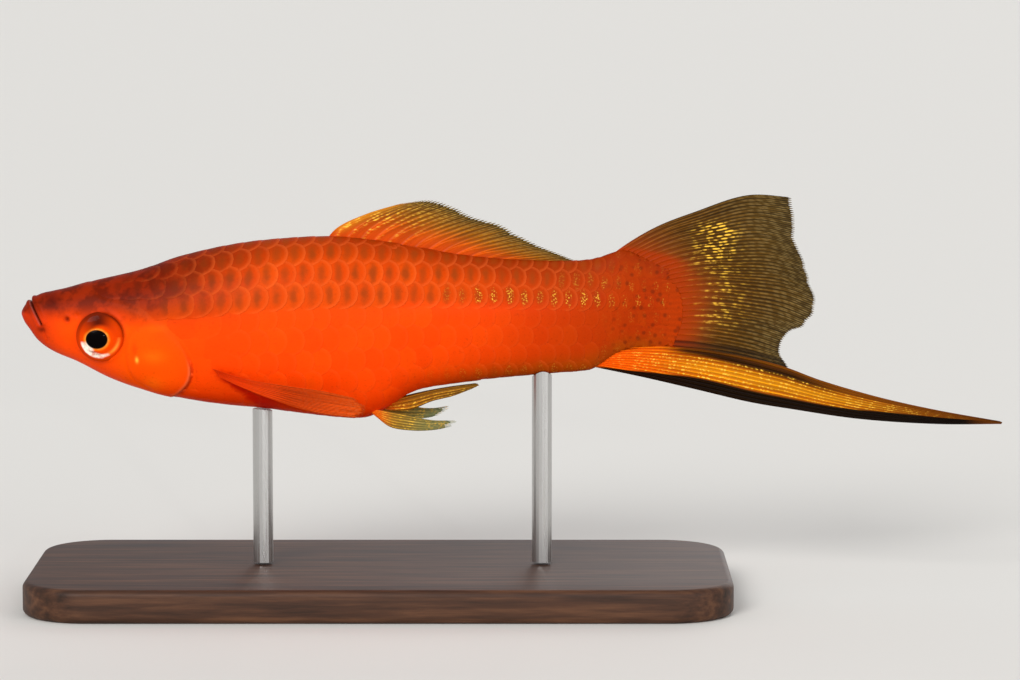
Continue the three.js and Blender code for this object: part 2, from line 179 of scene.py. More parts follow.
GILL_OPENING = line_through([
    (11.2, 9.5), (13.6, 3.2), (16.6, -1.0), (19.4, -3.8), (20.5, -6.3), (20.2, -8.2),
    (18.8, -9.8), (16.8, -11.0), (14.6, -13.5),
])(np.linspace(0, 1, 40))
SCALE_START = line_through([
    (6.6, 9.5), (7.6, 3.4), (9.4, 1.6), (12.6, 0.7), (15.2, -0.6), (17.6, -2.2), (19.6, -4.0),
    (20.5, -6.3), (20.2, -8.2), (18.8, -9.8), (16.8, -11.0), (14.6, -13.5),
])(np.linspace(0, 1, 48))
CHEEK_EDGE = line_through([
    (14.9, -1.2), (13.3, -2.6), (12.9, -5.4), (13.7, -8.0), (15.6, -9.3),
])(np.linspace(0, 1, 16))
JAW_CREASE = [(2.65, -1.6), (2.95, -2.6), (3.3, -3.5)]
MOUTH_TOP = np.array([1.15, 1.35])
MOUTH_CORNER = np.array([2.65, -1.6])
NOSTRIL = (5.8, -0.75)


def body_point(x, angle):
    """Points of the body at distances x behind the lips and angles round the section."""
    top, bottom = back_line(x), belly_line(x)
    middle = bottom + (top - bottom) * widest_share(x)
    across, up = np.cos(angle), np.sin(angle)
    power = 2 / np.where(up >= 0, upper_roundness(x), lower_roundness(x))
    reach = np.where(up >= 0, top - middle, middle - bottom)
    nose = np.sqrt(np.clip(1 - np.clip(1 - x / NOSE_ROUNDING, 0, 1) ** 2, 0, 1))
    y = np.sign(across) * np.abs(across) ** power * half_width(x) * nose
    z = middle + np.sign(up) * np.abs(up) ** power * reach * nose
    return np.stack(np.broadcast_arrays(x, y, z), -1)


def body_normal(x, angle):
    """Outward unit normals of the body."""
    step = 1e-3
    ahead = body_point(np.clip(x - step, 0, SKIN_END), angle)
    onward = body_point(np.clip(x + step, 0, SKIN_END), angle) - ahead
    round_it = body_point(x, angle + step) - body_point(x, angle - step)
    normal = np.cross(round_it, onward)
    return normal / np.maximum(np.linalg.norm(normal, axis=-1, keepdims=True), 1e-12)


def tail_sway(x):
    """The tail's end bends a little to the fish's right."""
    return 1.4 * (np.maximum(x - 72, 0) / 46) ** 2


def depth_share(x, z):
    """0 on the belly line, 1 on the back line."""
    return np.clip((z - belly_line(x)) / (back_line(x) - belly_line(x)), 0, 1)


# Making meshes

def grid_faces(rows, columns, closed=False):
    """Quads of a grid of points, row by row; a closed grid joins its last column to its first."""
    i = np.arange(rows - 1)[:, None] * columns
    j = np.arange(columns if closed else columns - 1)[None, :]
    k = (j + 1) % columns
    quads = np.stack([i + j, i + k, i + columns + k, i + columns + j], -1)
    return quads.reshape(-1, 4)


def make_piece(name, points, faces, material, replaces=(), marks=None):
    """A smooth mesh from points in the fish's frame, riding on the body, with marks per point."""
    mesh = bpy.data.meshes.new(name)
    placed = np.asarray(points, float) * MM + FISH_ORIGIN
    mesh.from_pydata(placed.tolist(), [], [list(map(int, face)) for face in faces])
    mesh.polygons.foreach_set("use_smooth", [True] * len(mesh.polygons))
    for mark, values in (marks or {}).items():
        layer = mesh.attributes.new(mark, "FLOAT", "POINT")
        layer.data.foreach_set("value", np.asarray(values, np.float32).ravel())
    mesh.materials.append(material)
    mesh.update()
    piece = bpy.data.objects.new(name, mesh)
    bpy.context.scene.collection.objects.link(piece)
    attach(piece, BODY)
    if replaces:
        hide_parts(*replaces)
    return piece


# Making materials

def linear(hex_colour):
    """An sRGB hex colour as the linear colour that shaders use."""
    channels = [int(hex_colour[i:i + 2], 16) / 255 for i in (1, 3, 5)]
    return (*(c / 12.92 if c <= 0.04045 else ((c + 0.055) / 1.055) ** 2.4 for c in channels), 1)


def repeats(size):
    """How often a pattern of a size in millimetres repeats in a metre."""
    return 1 / (size * MM)


def add_node(material, kind, values=None, stops=None, **settings):
    """Adds one node. values maps its sockets to numbers, colours, outputs or whole nodes."""
    tree = material.node_tree
    made = tree.nodes.new(kind)
    for setting, value in settings.items():
        setattr(made, setting, value)
    if stops:
        ramp = made.color_ramp.elements
        ramp[0].position, ramp[1].position = stops[0][0], stops[-1][0]
        for position, _ in stops[1:-1]:
            ramp.new(position)
        for stop, (_, colour) in zip(ramp, stops):
            stop.color = linear(colour)
    for socket, value in (values or {}).items():
        if isinstance(value, bpy.types.Node):
            value = next(output for output in value.outputs if output.enabled)
        if isinstance(value, bpy.types.NodeSocket):
            tree.links.new(value, made.inputs[socket])
        else:
            made.inputs[socket].default_value = value
    return made


def lay_colours(material, colour, layers):
    """Lays colours over one another, each by an amount that is the product of its factors."""
    for over, amount, *factors in layers:
        for factor in factors:
            amount = add_node(
                material, "ShaderNodeMath", {0: amount, 1: factor}, operation="MULTIPLY")
        colour = add_node(
            material, "ShaderNodeMix",
            {"Factor": amount, "A": colour, "B": linear(over) if isinstance(over, str) else over},
            data_type="RGBA")
    return colour


def new_material(name):
    """A material with no nodes yet."""
    material = bpy.data.materials.new(name)
    material.use_nodes = True
    material.node_tree.nodes.clear()
    return material


# Sizes and colours that a user would change

def hex_colour(name, description, default):
    """A setting that holds an sRGB hex colour."""
    return bpy.props.StringProperty(name=name, description=description, default=default)


def length(name, description, default):
    """A setting that holds a length, given here in millimetres."""
    return bpy.props.FloatProperty(
        name=name, description=description, default=default * MM, unit="LENGTH", precision=5)


class SwordtailSizes(bpy.types.PropertyGroup):
    """Thicknesses and reliefs of the fish's skin, scales and fins."""
    scale_thickness: length("Scale thickness", "Thickness of one scale plate", 0.06)
    scale_rise: length("Scale rise", "How far a scale's rear edge stands off the skin", 0.13)
    membrane: length("Membrane", "Thickness of a fin between its rays", 0.09)
    ray_height: length("Ray height", "How far a ray stands out of each face of a fin", 0.09)
    groove: length("Groove", "Depth of the line of the mouth", 0.4)


class SwordtailColours(bpy.types.PropertyGroup):
    """Colours of the living fish."""
    flank: hex_colour("Flank", "Brilliant orange-red of the lower flank", "#FF4300")
    belly: hex_colour("Belly", "Deeper red of the belly", "#E23200")
    upper: hex_colour("Upper flank", "Orange-brown above the lateral row", "#D24602")
    back: hex_colour("Back", "Dark brown-red of the ridge of the back", "#8A2A04")
    crown: hex_colour("Crown", "Dark red of the top of the head and snout", "#7E1E04")
    snout: hex_colour("Snout", "Red of the jaws", "#B22A0A")
    cheek: hex_colour("Cheek", "Bright orange of the gill covers", "#FF5200")
    stem: hex_colour("Tail stem", "Dull orange-red of the tail stem and its foot", "#A03000")
    # rim is partly a painted highlight on the scales' raised rear edges
    rim: hex_colour("Scale rim", "Light edge of a scale", "#F06C2E")
    centre: hex_colour("Scale centre", "Brown of a scale's centre", "#93390A")
    # gold also paints the glints of light on the fins and on the scales
    gold: hex_colour("Gold", "Gold of the glinting cells", "#FFC640")


class SwordtailStage(bpy.types.PropertyGroup):
    """Camera, light and floor."""
    elevation: bpy.props.FloatProperty(
        name="Camera elevation", description="How far the camera looks down",
        default=math.radians(6.5), subtype="ANGLE")
    lens: bpy.props.FloatProperty(
        name="Lens", description="Focal length", default=150, unit="CAMERA")
    floor: hex_colour("Floor", "Pale plain floor", "#E2DFD9")


def sizes():
    """The sizes set in the scene."""
    return bpy.context.scene.swordtail_sizes


def colours():
    """The colours set in the scene."""
    return bpy.context.scene.swordtail_colours


# Skin

def gill_relief(x, z):
    """The gill cover's raised rear edge, with the narrow opening behind it."""
    behind = distance_to(GILL_OPENING, x, z)
    on_side = 0.25 * smooth(2.2, -0.6, z) + 0.75 * smooth(-2.0, -5.5, z)
    plate = 0.16 * smooth(-3.6, -0.5, behind) * smooth(0.14, -0.06, behind)
    slit = -0.17 * bump(behind, 0.2, 0.15)
    cheek_groove = -0.05 * bump(distance_to(CHEEK_EDGE, x, z), 0, 0.18)
    return (plate + slit) * on_side + cheek_groove


def mouth_place(x, z):
    """Distance up the mouth line from its corner, and distance in front of it."""
    up = MOUTH_TOP - MOUTH_CORNER
    up = up / np.linalg.norm(up)
    dx, dz = x - MOUTH_CORNER[0], z - MOUTH_CORNER[1]
    return dx * up[0] + dz * up[1], -dx * up[1] + dz * up[0]


def mouth_relief(x, z):
    """Two rounded lips with a groove between them, ending at the mouth's corner."""
    up, in_front = mouth_place(x, z)
    opened = smooth(-0.35, 0.25, up)
    groove = -sizes().groove / MM * bump(in_front, 0, 0.11)
    lips = 0.2 * bump(in_front, 0.42, 0.27) + 0.24 * bump(in_front, -0.42, 0.25)
    crease = -0.14 * bump(distance_to(JAW_CREASE, x, z), 0, 0.14)
    return (groove + lips) * opened + crease * smooth(4.2, 3.0, x)


def socket_relief(x, z):
    """A soft rim round the eye and the hollow that the eye sits in."""
    away = np.hypot(x - EYE_X, z - EYE_Z)
    return 0.11 * bump(away, 2.96, 0.26) - 1.3 * smooth(2.8, 2.45, away)


def nostril_relief(x, z):
    """The nostril's pit with its rim, and the small pore behind it."""
    away = np.hypot(x - NOSTRIL[0], z - NOSTRIL[1])
    second = np.hypot(x - NOSTRIL[0] - 1.15, z - NOSTRIL[1] - 0.5)
    return 0.08 * bump(away, 0.36, 0.12) - 0.34 * bump(away, 0, 0.2) - 0.16 * bump(second, 0, 0.16)


def scaled(x, z):
    """1 where scales cover the skin, 0 on the head and towards the end of the tail's foot."""
    return smooth(0.1, 0.9, distance_to(SCALE_START, x, z)) * smooth(78.8, 76.8, x)


def body_marks(x, z):
    """Where the colours change, for skin and scales alike: each is 0 to 1 at every point."""
    share = depth_share(x, z)
    behind = distance_to(GILL_OPENING, x, z)
    up, in_front = mouth_place(x, z)
    eye_away = np.hypot(x - EYE_X, z - EYE_Z)
    boundary = profile([
        [0, 0.78], [10, 0.76], [14, 0.64], [17, 0.58], [34, 0.6], [47, 0.62], [57, 0.65],
        [81, 0.66],
    ])(x)
    ridge = profile([[0, 0.7], [12, 0.78], [24, 0.9], [40, 0.95], [60, 0.9], [81, 0.9]])(x)
    return {
        "upper": smooth(boundary - 0.06, boundary + 0.06, share) * smooth(8, 14, x),
        "ridge": smooth(ridge - 0.12, ridge + 0.08, share) * smooth(10, 22, x),
        "crown": smooth(0.5, 0.82, share) * smooth(31, 14, x),
        "snout": smooth(6.4, 1.2, x),
        "upper_jaw": bump(np.hypot(x - 3.9, (z - 1.3) * 0.9), 0, 0.85),
        "cheek": smooth(10, 13, x) * smooth(0.8, -2.5, behind) * smooth(0.66, 0.5, share),
        "glow": bump(np.hypot(x - 16.2, (z + 5.1) * 1.7), 0, 1.3)
        + 0.8 * bump(np.hypot(x - 16.0, (z + 8.4) * 1.3), 0, 1.1)
        + 0.6 * bump(np.hypot((x - 16.5) * 0.7, (z + 1.6) * 2.2), 0, 1.0),
        "belly": smooth(0.16, 0.0, share) * smooth(12, 22, x),
        # Painted shadow: deep red on the belly below the pectoral fin, where the fin's shadow falls
        "fin_shadow": smooth(-0.1, 0.35, (z + 7.35 + 0.89 * (x - 23.7)) / 1.34)
        * smooth(0.1, -0.4, z + 6.5 + 0.28 * (x - 23.2)) * smooth(34, 29, x)
        * smooth(23.3, 24.2, x),
        "stem": smooth(44, 73, x),
        "streak": smooth(70, 75, x) * (0.5 + 0.5 * np.cos(190 * np.arctan2(z - 0.2, x - 58))),
        "foot": smooth(69, 73, x),
        "stem_edge": smooth(44, 60, x) * smooth(0.22, 0.02, share) * smooth(80, 74, x),
        "cover_edge": bump(behind, -0.1, 0.14) * smooth(-5.0, -7.2, z),
        "cheek_line": 0.4 * bump(distance_to(CHEEK_EDGE, x, z), 0, 0.16)
        + bump(np.hypot((x - 13.9) * 2.6, z + 4.2), 0, 0.8),
        "lip": bump(in_front, 0.16, 0.07) * smooth(0.0, 0.3, up),
        "mouth": bump(in_front, -0.04, 0.12) * smooth(-0.15, 0.2, up) + 0.8 * bump(
            np.hypot((x - 2.65) * 0.7, z + 2.1), 0, 0.36),
        "opening": bump(behind, 0.16, 0.2) * smooth(-4.2, -6.6, z),
        "socket": bump(eye_away, 2.82, 0.22) * (0.35 + 0.65 * smooth(-1.5, 1.5, z - EYE_Z)),
        "nostril": bump(np.hypot(x - NOSTRIL[0], z - NOSTRIL[1]), 0, 0.34),
        "gold_spot": bump(np.hypot((x - 14.15) * 1.8, z + 5.5), 0, 0.32),
    }


def skin_colour(material, place):
    """The fish's colours from its marks, for skin and scales alike."""
    palette = colours()
    layers = (
        # fin_shadow lays the painted shadow of the pectoral fin on the belly
        ("belly", palette.belly, 0.75), ("fin_shadow", "#C81000", 0.9),
        ("upper", palette.upper, 0.95), ("stem", palette.stem, 0.9),
        ("streak", "#8A2A00", 0.4), ("stem_edge", "#9A4402", 0.7),
        ("ridge", palette.back, 0.75), ("cheek", palette.cheek, 0.7), ("glow", "#FF8410", 0.26),
        ("cheek_line", "#A82400", 0.36), ("cover_edge", "#FF9A60", 0.3),
        ("snout", palette.snout, 0.85), ("crown", palette.crown, 0.92),
        ("upper_jaw", "#4A0E08", 0.75), ("lip", "#C87A70", 0.4), ("mouth", "#2A0602", 0.92),
        ("opening", "#9A1402", 0.6), ("socket", "#7A1A04", 0.7), ("nostril", "#5A0A04", 0.85),
        ("gold_spot", palette.gold, 0.9),
    )
    mark = {
        name: add_node(material, "ShaderNodeAttribute", attribute_name=name).outputs["Fac"]
        for name in ["foot"] + [layer[0] for layer in layers]
    }
    blotches = add_node(
        material, "ShaderNodeTexNoise",
        {"Vector": place, "Scale": repeats(BLOTCH), "Detail": 5, "Roughness": 0.6})
    colour = add_node(
        material, "ShaderNodeMix",
        {"Factor": blotches, "A": linear(palette.flank), "B": linear("#FA4C04")},
        data_type="RGBA")
    colour = lay_colours(
        material, colour, [(tone, mark[name], strength) for name, tone, strength in layers])
    # Small scales sunk in the skin of the crown show as dark mottling
    sunk = add_node(
        material, "ShaderNodeTexNoise",
        {"Vector": place, "Scale": repeats(SUNK_SCALE), "Detail": 3, "Roughness": 0.55})
    sunk = add_node(
        material, "ShaderNodeMapRange",
        {"Value": sunk, "From Min": 0.42, "From Max": 0.62, "To Max": 0.62},
        interpolation_type="SMOOTHSTEP")
    # Dark freckles lie on the foot of the tail
    freckles = add_node(
        material, "ShaderNodeTexVoronoi", {"Vector": place, "Scale": repeats(FRECKLE_GAP)})
    freckles = add_node(
        material, "ShaderNodeMapRange",
        {"Value": freckles, "From Min": 0.36, "From Max": 0.16, "To Max": 0.6})
    # Fine dark pigment cells are strewn everywhere
    cells = add_node(
        material, "ShaderNodeTexNoise",
        {"Vector": place, "Scale": repeats(PIGMENT_CELL), "Detail": 2})
    cells = add_node(
        material, "ShaderNodeMapRange",
        {"Value": cells, "From Min": 0.58, "From Max": 0.78, "To Max": 0.2})
    return lay_colours(material, colour, (
        ("#4A1002", sunk, mark["crown"]), ("#6A2204", freckles, mark["foot"]),
        ("#5E1602", cells)))


def finish_flesh(material, place, colour, bump_strength):
    """Wet living skin: a soft dielectric under thin slime, deep in colour with a faint sheen."""
    grain = add_node(
        material, "ShaderNodeTexNoise",
        {"Vector": place, "Scale": repeats(SKIN_GRAIN), "Detail": 3})
    relief = add_node(
        material, "ShaderNodeBump",
        {"Height": grain, "Strength": bump_strength, "Distance": 0.05 * MM})
    rough = add_node(
        material, "ShaderNodeMapRange", {"Value": grain, "To Min": 0.4, "To Max": 0.55})
    shader = add_node(
        material, "ShaderNodeBsdfPrincipled",
        {"Base Color": colour, "Roughness": rough, "Normal": relief, "IOR": 1.38,
         "Specular IOR Level": 0.05, "Coat Weight": 0.015, "Coat Roughness": 0.25,
         "Coat IOR": 1.34})
    add_node(material, "ShaderNodeOutputMaterial", {"Surface": shader})


def skin_material():
    """Bare skin of the head and what shows between the scales: mottled, matt and soft."""
    material = new_material("wet orange-red fish skin")
    place = add_node(material, "ShaderNodeTexCoord").outputs["Object"]
    finish_flesh(material, place, skin_colour(material, place), 0.25)
    return material


def build_skin():
    """One closed skin from the lips to the foot of the tail fin."""
    nose = 0.6 * np.linspace(0, 1, 16) ** 2
    stations = np.concatenate([
        [0.002], nose[1:], np.arange(0.66, 4.2, 0.06), np.arange(4.2, 22.5, 0.14),
        np.arange(22.5, SKIN_END, 0.4), [SKIN_END],
    ])
    angles = np.linspace(0, 2 * math.pi, 180, endpoint=False)
    x, angle = np.meshgrid(stations, angles, indexing="ij")
    points = body_point(x, angle)
    points[..., 0] -= 1.7 * smooth(75, SKIN_END, x) * ((points[..., 2] - 0.2) / 4) ** 2
    y, z = points[..., 1], points[..., 2]
    on_side = smooth(0.6, 1.6, np.abs(y))
    relief = mouth_relief(x, z) * smooth(0.0, 0.25, x)
    relief += gill_relief(x, z) * smooth(0.2, 1.2, np.abs(y))
    relief += (socket_relief(x, z) + nostril_relief(x, z)) * on_side
    relief -= 0.1 * scaled(x, z)
    points = points + body_normal(x, angle) * relief[..., None]
    points[..., 1] += tail_sway(points[..., 0])
    rows, columns = x.shape
    faces = grid_faces(rows, columns, closed=True).tolist()
    front, rear = rows * columns, rows * columns + 1
    last = (rows - 1) * columns
    for j in range(columns):
        k = (j + 1) % columns
        faces.append([front, k, j])
        faces.append([rear, last + j, last + k])
    ends = [points[0].mean(axis=0), points[-1].mean(axis=0)]
    flat = np.vstack([points.reshape(-1, 3), ends])
    marks = body_marks(flat[:, 0], flat[:, 2])
    return make_piece(
        "skin", flat, faces, skin_material(),
        ("head", "trunk", "tail_stem", "gill_cover_left", "gill_cover_right"), marks)


# Scales

lateral_height = profile([[8, 0.7], [20, 1.2], [30, 2.1], [42, 2.45], [60, 1.9], [80, 0.8]])
row_spacing = profile([[10, 2.3], [26, 2.65], [40, 2.65], [60, 2.35], [72, 2.0], [80, 1.7]])
column_spacing = profile([[10, 2.25], [30, 2.15], [48, 1.92], [60, 1.8], [72, 1.6], [80, 1.35]])


class SideMap:
    """Finds the angle round the section at an arc length above the lateral row."""
    along_step = 0.3
    round_step = 0.1

    def __init__(self):
        """Unrolls one side of the body, section by section."""
        self.x = np.arange(6, 81.21, self.along_step)
        self.s = np.arange(-22, 22.01, self.round_step)
        angles = np.linspace(-math.pi / 2 - 1.3, math.pi / 2 + 1.3, 900)
        self.angle = np.empty((len(self.x), len(self.s)))
        self.top = np.empty(len(self.x))
        self.bottom = np.empty(len(self.x))
        for i, x in enumerate(self.x):
            points = body_point(np.full(angles.shape, x), angles)
            arc = np.concatenate([
                [0], np.cumsum(np.linalg.norm(np.diff(points, axis=0), axis=1))])
            on_side = np.abs(angles) < math.pi / 2
            start = np.interp(lateral_height(x), points[on_side, 2], arc[on_side])
            self.angle[i] = np.interp(self.s + start, arc, angles)
            self.top[i] = np.interp(math.pi / 2, angles, arc) - start
            self.bottom[i] = np.interp(-math.pi / 2, angles, arc) - start

    def angle_at(self, x, s):
        """The angle between the four nearest places that were unrolled."""
        i = np.clip((x - self.x[0]) / self.along_step, 0, len(self.x) - 1.001)
        j = np.clip((s - self.s[0]) / self.round_step, 0, len(self.s) - 1.001)
        i0, j0 = i.astype(int), j.astype(int)
        fi, fj = i - i0, j - j0
        a = self.angle
        near = a[i0, j0] * (1 - fj) + a[i0, j0 + 1] * fj
        far = a[i0 + 1, j0] * (1 - fj) + a[i0 + 1, j0 + 1] * fj
        return near * (1 - fi) + far * fi


SCALE_ROWS = range(-8, 8)  # row 0 runs along the lateral line
FIRST_SCALE, LAST_SCALE = 7.8, 77.4
SCALE_RINGS = (0.4, 0.7, 0.88, 0.97, 1.0)
SCALE_SIDES = 16
SCALE_PATCH = 0.0045  # half a scale's width on the OFBake map


def scale_centres(side_map, rng):
    """Rows of scales from the belly to the back, each set half a scale on from the last."""
    centres = []
    for row in SCALE_ROWS:
        x = FIRST_SCALE + (0.5 * float(column_spacing(10)) if row % 2 else 0.0)
        while x < LAST_SCALE:
            s = row * float(row_spacing(x))
            top = np.interp(x, side_map.x, side_map.top)
            bottom = np.interp(x, side_map.x, side_map.bottom)
            spacing = float(column_spacing(x))
            if bottom - 0.1 < s < top + 0.1:
                centres.append((x + rng.normal(0, 0.03), s + rng.normal(0, 0.03), spacing, row))
            x += spacing
    return centres


def scale_plate():
    """One scale: places along, across and out from its middle, and its three sets of faces."""
    turn = np.linspace(0, 2 * math.pi, SCALE_SIDES, endpoint=False)
    rings = np.array(SCALE_RINGS)
    cos, sin = [np.sign(part) * np.abs(part) ** 0.92 for part in (np.cos(turn), np.sin(turn))]
    along = np.concatenate([[0], (rings[:, None] * cos).ravel()])
    across = np.concatenate([[0], (rings[:, None] * sin).ravel()])
    out = np.concatenate([[0], np.repeat(rings, SCALE_SIDES)])
    count = len(out)
    edge, under = count - SCALE_SIDES, count + 1
    after = [(k + 1) % SCALE_SIDES for k in range(SCALE_SIDES)]
    top_faces = [[0, 1 + n, 1 + k] for k, n in enumerate(after)]
    for base in range(1, edge, SCALE_SIDES):
        for k, n in enumerate(after):
            top_faces.append([base + k, base + n, base + n + SCALE_SIDES, base + k + SCALE_SIDES])
    rim_faces = [[edge + k, edge + n, under + n, under + k] for k, n in enumerate(after)]
    under_faces = [[count, under + k, under + n] for k, n in enumerate(after)]
    return along, across, out, (top_faces, rim_faces, under_faces)


def scale_tones(x, row, share, rng):
    """How strong one scale's brown centre, light rim, tone and gold specks are."""
    upper = float(smooth(-0.6, 0.2, row)) * float(smooth(8, 18, x) * 0.4 + 0.6)
    low_rear = float(smooth(42, 56, x) * smooth(0.2, 0.06, share))
    spot = (0.06 + 0.94 * upper * float(smooth(78, 62, x) * 0.5 + 0.5)) * rng.uniform(0.75, 1.15)
    spot = max(spot, 0.4 * low_rear) * (0.1 + 0.9 * float(smooth(73, 68, x)))
    # rim is the scale's light rim, partly its pale edge and partly a painted highlight on its
    # raised rear edge
    rim = max(0.25 + 0.75 * upper, 0.5 * low_rear) * rng.uniform(0.7, 1.1)
    rim *= float(smooth(73, 62, x)) * (0.3 + 0.7 * float(smooth(10, 26, x)))
    near_foot = float(smooth(67, 72, x))
    # gold is the strength of the painted gold glints, strongest on the lateral row
    gold = float(row == 0) * float(smooth(48, 56, x)) * (1 - 0.75 * near_foot)
    gold += float(row == 1) * float(smooth(62, 68, x)) * (0.5 - 0.35 * near_foot)
    gold += 0.3 * low_rear * (1 - near_foot) + 0.1 * near_foot
    tone = rng.uniform(0, 1)
    gold = min(gold, 1.0) * rng.uniform(0.25, 0.85)
    return {"tone": tone, "spot": spot, "rim": rim, "gold": gold}


def build_scales(side_name):
    """One side's scales: thin domed plates that overlap like tiles, rear edges out."""
    side = SIDES[side_name]
    rng = np.random.default_rng(SEED + side)
    side_map = SideMap()
    along, across, out, groups = scale_plate()
    edge = len(out) - SCALE_SIDES
    rise, thickness = sizes().scale_rise / MM, sizes().scale_thickness / MM
    points, faces, uvs, roots = [], [], [], []
    marks = {"along": [], "across": [], "edge": [], "tone": [], "spot": [], "rim": [], "gold": []}
    for x0, s0, spacing, row in scale_centres(side_map, rng):
        centre_z = float(body_point(x0, side_map.angle_at(np.array(x0), np.array(s0)))[2])
        behind = float(distance_to(SCALE_START, np.array(x0), np.array(centre_z)))
        if behind < 0.7 + 0.25 * spacing:
            continue
        small = 1 - 0.3 * float(smooth(74, 79, x0)) - 0.2 * float(smooth(13, 9, x0))
        rear, front = 1.04 * spacing * small, 1.12 * spacing
        height = 0.70 * float(row_spacing(x0)) * small
        a = np.where(along > 0, along * rear, along * front)
        x = np.clip(x0 + a, 6.2, SKIN_END - 0.05)
        angle = side_map.angle_at(x, s0 + across * height)
        normal = body_normal(x, angle)
        surface = body_point(x, angle)
        fade = 0.2 + 0.8 * float(smooth(0.9, 5.0, behind)) * float(smooth(74, 66, x0))
        fade *= 0.45 + 0.55 * float(smooth(9, 25, x0))
        fade *= 0.6 + 0.4 * float(row > -1)
        slope = rise * fade / (2.12 * spacing)
        lift = -0.09 + slope * (a + front) + 0.02 * (1 - out ** 2) - 0.012 * smooth(0.9, 1, out)
        lift = lift + (0.006 if side < 0 else 0) + rng.normal(0, 0.004)
        top = surface + normal * lift[:, None]
        bottom_edge = (surface + normal * (lift - thickness)[:, None])[edge:]
        bottom_centre = (surface + normal * (lift - thickness - 0.02)[:, None])[:1]
        block = np.vstack([top, bottom_centre, bottom_edge])
        block[:, 1] = block[:, 1] * side + tail_sway(block[:, 0])
        start = len(points) * len(block)
        order = slice(None, None, 1 if side > 0 else -1)
        for kind, group in enumerate(groups):
            for face in group:
                faces.append([start + v for v in face][order])
                uvs.append((kind, face[order], len(points)))
        points.append(block)
        roots.append((x0, s0))
        tail = np.zeros(1 + SCALE_SIDES)
        marks["along"].append(np.concatenate([along, tail - 1]))
        marks["across"].append(np.concatenate([across, tail]))
        marks["edge"].append(np.concatenate([out, tail + 1]))
        share = float(depth_share(np.array(x0), np.array(centre_z)))
        for name, value in scale_tones(x0, row, share, rng).items():
            marks[name].append(np.full(len(block), value))
    flat = np.vstack(points)
    all_marks = {name: np.concatenate(values) for name, values in marks.items()}
    all_marks.update(body_marks(flat[:, 0], flat[:, 2]))
    piece = make_piece(
        f"scales_{side_name}", flat, faces, scale_material(), (), all_marks)
    unwrap_scales(piece, uvs, roots, along, across)


def unwrap_scales(piece, uvs, roots, along, across):
    """Each scale gets its own small patch, at its root's place on the body unrolled flat."""
    layer = piece.data.uv_layers.new(name="OFBake")
    count = len(along)
    edge_a, edge_b = along[-SCALE_SIDES:], across[-SCALE_SIDES:]
    flat = []
    for kind, face, number in uvs:
        u0 = 0.02 + 0.95 * roots[number][0] / SKIN_END
        v0 = 0.5 + 0.48 * roots[number][1] / 22
        for v in face:
            below = v - count - 1  # counts the points under the rim, and is less than 0 elsewhere
            if kind == 0:
                place = (along[v] * SCALE_PATCH, across[v] * SCALE_PATCH)
            elif kind == 1:
                k = below if below >= 0 else below + 1 + SCALE_SIDES
                reach = SCALE_PATCH * (1.1 if below >= 0 else 1.0)
                place = (edge_a[k] * reach, edge_b[k] * reach)
            else:
                spread = 0.2 * SCALE_PATCH if below >= 0 else 0
                place = (1.45 * SCALE_PATCH + edge_a[below] * spread, edge_b[below] * spread)
            flat.append((u0 + place[0], v0 + place[1]))
    layer.data.foreach_set("uv", np.array(flat).ravel())


def scale_material():
    """Scales in their skin: brown in the middle as the cells lie, and light at the rear rim, partly
    pale edge and partly painted highlight.
    """
    material = new_material("overlapping fish scales")
    place = add_node(material, "ShaderNodeTexCoord").outputs["Object"]
    palette = colours()
    mark = {
        name: add_node(material, "ShaderNodeAttribute", attribute_name=name).outputs["Fac"]
        for name in ("along", "across", "edge", "tone", "spot", "rim", "gold", "crown")
    }
    tint = add_node(
        material, "ShaderNodeMix",
        {"Factor": mark["tone"], "A": linear("#FFFFFF"), "B": linear("#F8E8E0")},
        data_type="RGBA")
    colour = add_node(
        material, "ShaderNodeMix",
        {"Factor": 1.0, "A": skin_colour(material, place), "B": tint},
        data_type="RGBA", blend_type="MULTIPLY")
    # The distance from a point a third of the way back, drawn ragged, shapes the brown centre
    away = add_node(
        material, "ShaderNodeCombineXYZ", {"X": mark["along"], "Y": mark["across"]})
    away = add_node(
        material, "ShaderNodeVectorMath", {0: away, 1: (3.8, 1.4, 1), 2: (-0.36 * 3.8, 0, 0)},
        operation="MULTIPLY_ADD")
    away = add_node(material, "ShaderNodeVectorMath", {0: away}, operation="LENGTH")
    ragged = add_node(
        material, "ShaderNodeTexNoise", {"Vector": place, "Scale": repeats(RAGGED_PATCH)})
    away = add_node(
        material, "ShaderNodeMath", {0: ragged, 1: 1.3, 2: away}, operation="MULTIPLY_ADD")
    part = {
        name: add_node(
            material, "ShaderNodeMapRange",
            {"Value": value, "From Min": low, "From Max": high, "To Max": most},
            interpolation_type="SMOOTHSTEP")
        for name, value, low, high, most in (
            ("centre", away, 2.0, 0.8, 0.8), ("rim", mark["edge"], 0.72, 0.98, 0.24),
            ("at_rear", mark["along"], -0.3, 0.25, 1), ("near_middle", away, 1.7, 1.1, 1))
    }
    brown = add_node(
        material, "ShaderNodeMix",
        {"Factor": mark["crown"], "A": linear(palette.centre), "B": linear("#641A04")},
        data_type="RGBA")
    specks = add_node(
        material, "ShaderNodeTexVoronoi", {"Vector": place, "Scale": repeats(GOLD_SPECK)})
    specks = add_node(
        material, "ShaderNodeMapRange", {"Value": specks, "From Min": 0.46, "From Max": 0.22})
    colour = lay_colours(material, colour, (
        (brown, part["centre"], mark["spot"]),
        # The light rim is partly the scale's pale edge and partly a painted highlight on its raised
        # rear edge
        (palette.rim, part["rim"], mark["rim"], part["at_rear"]),
        # Painted glints: gold specks near the middle of the scales on the lateral rows
        (palette.gold, part["near_middle"], mark["gold"], specks)))
    finish_flesh(material, place, colour, 0.2)
    return material


# Fins

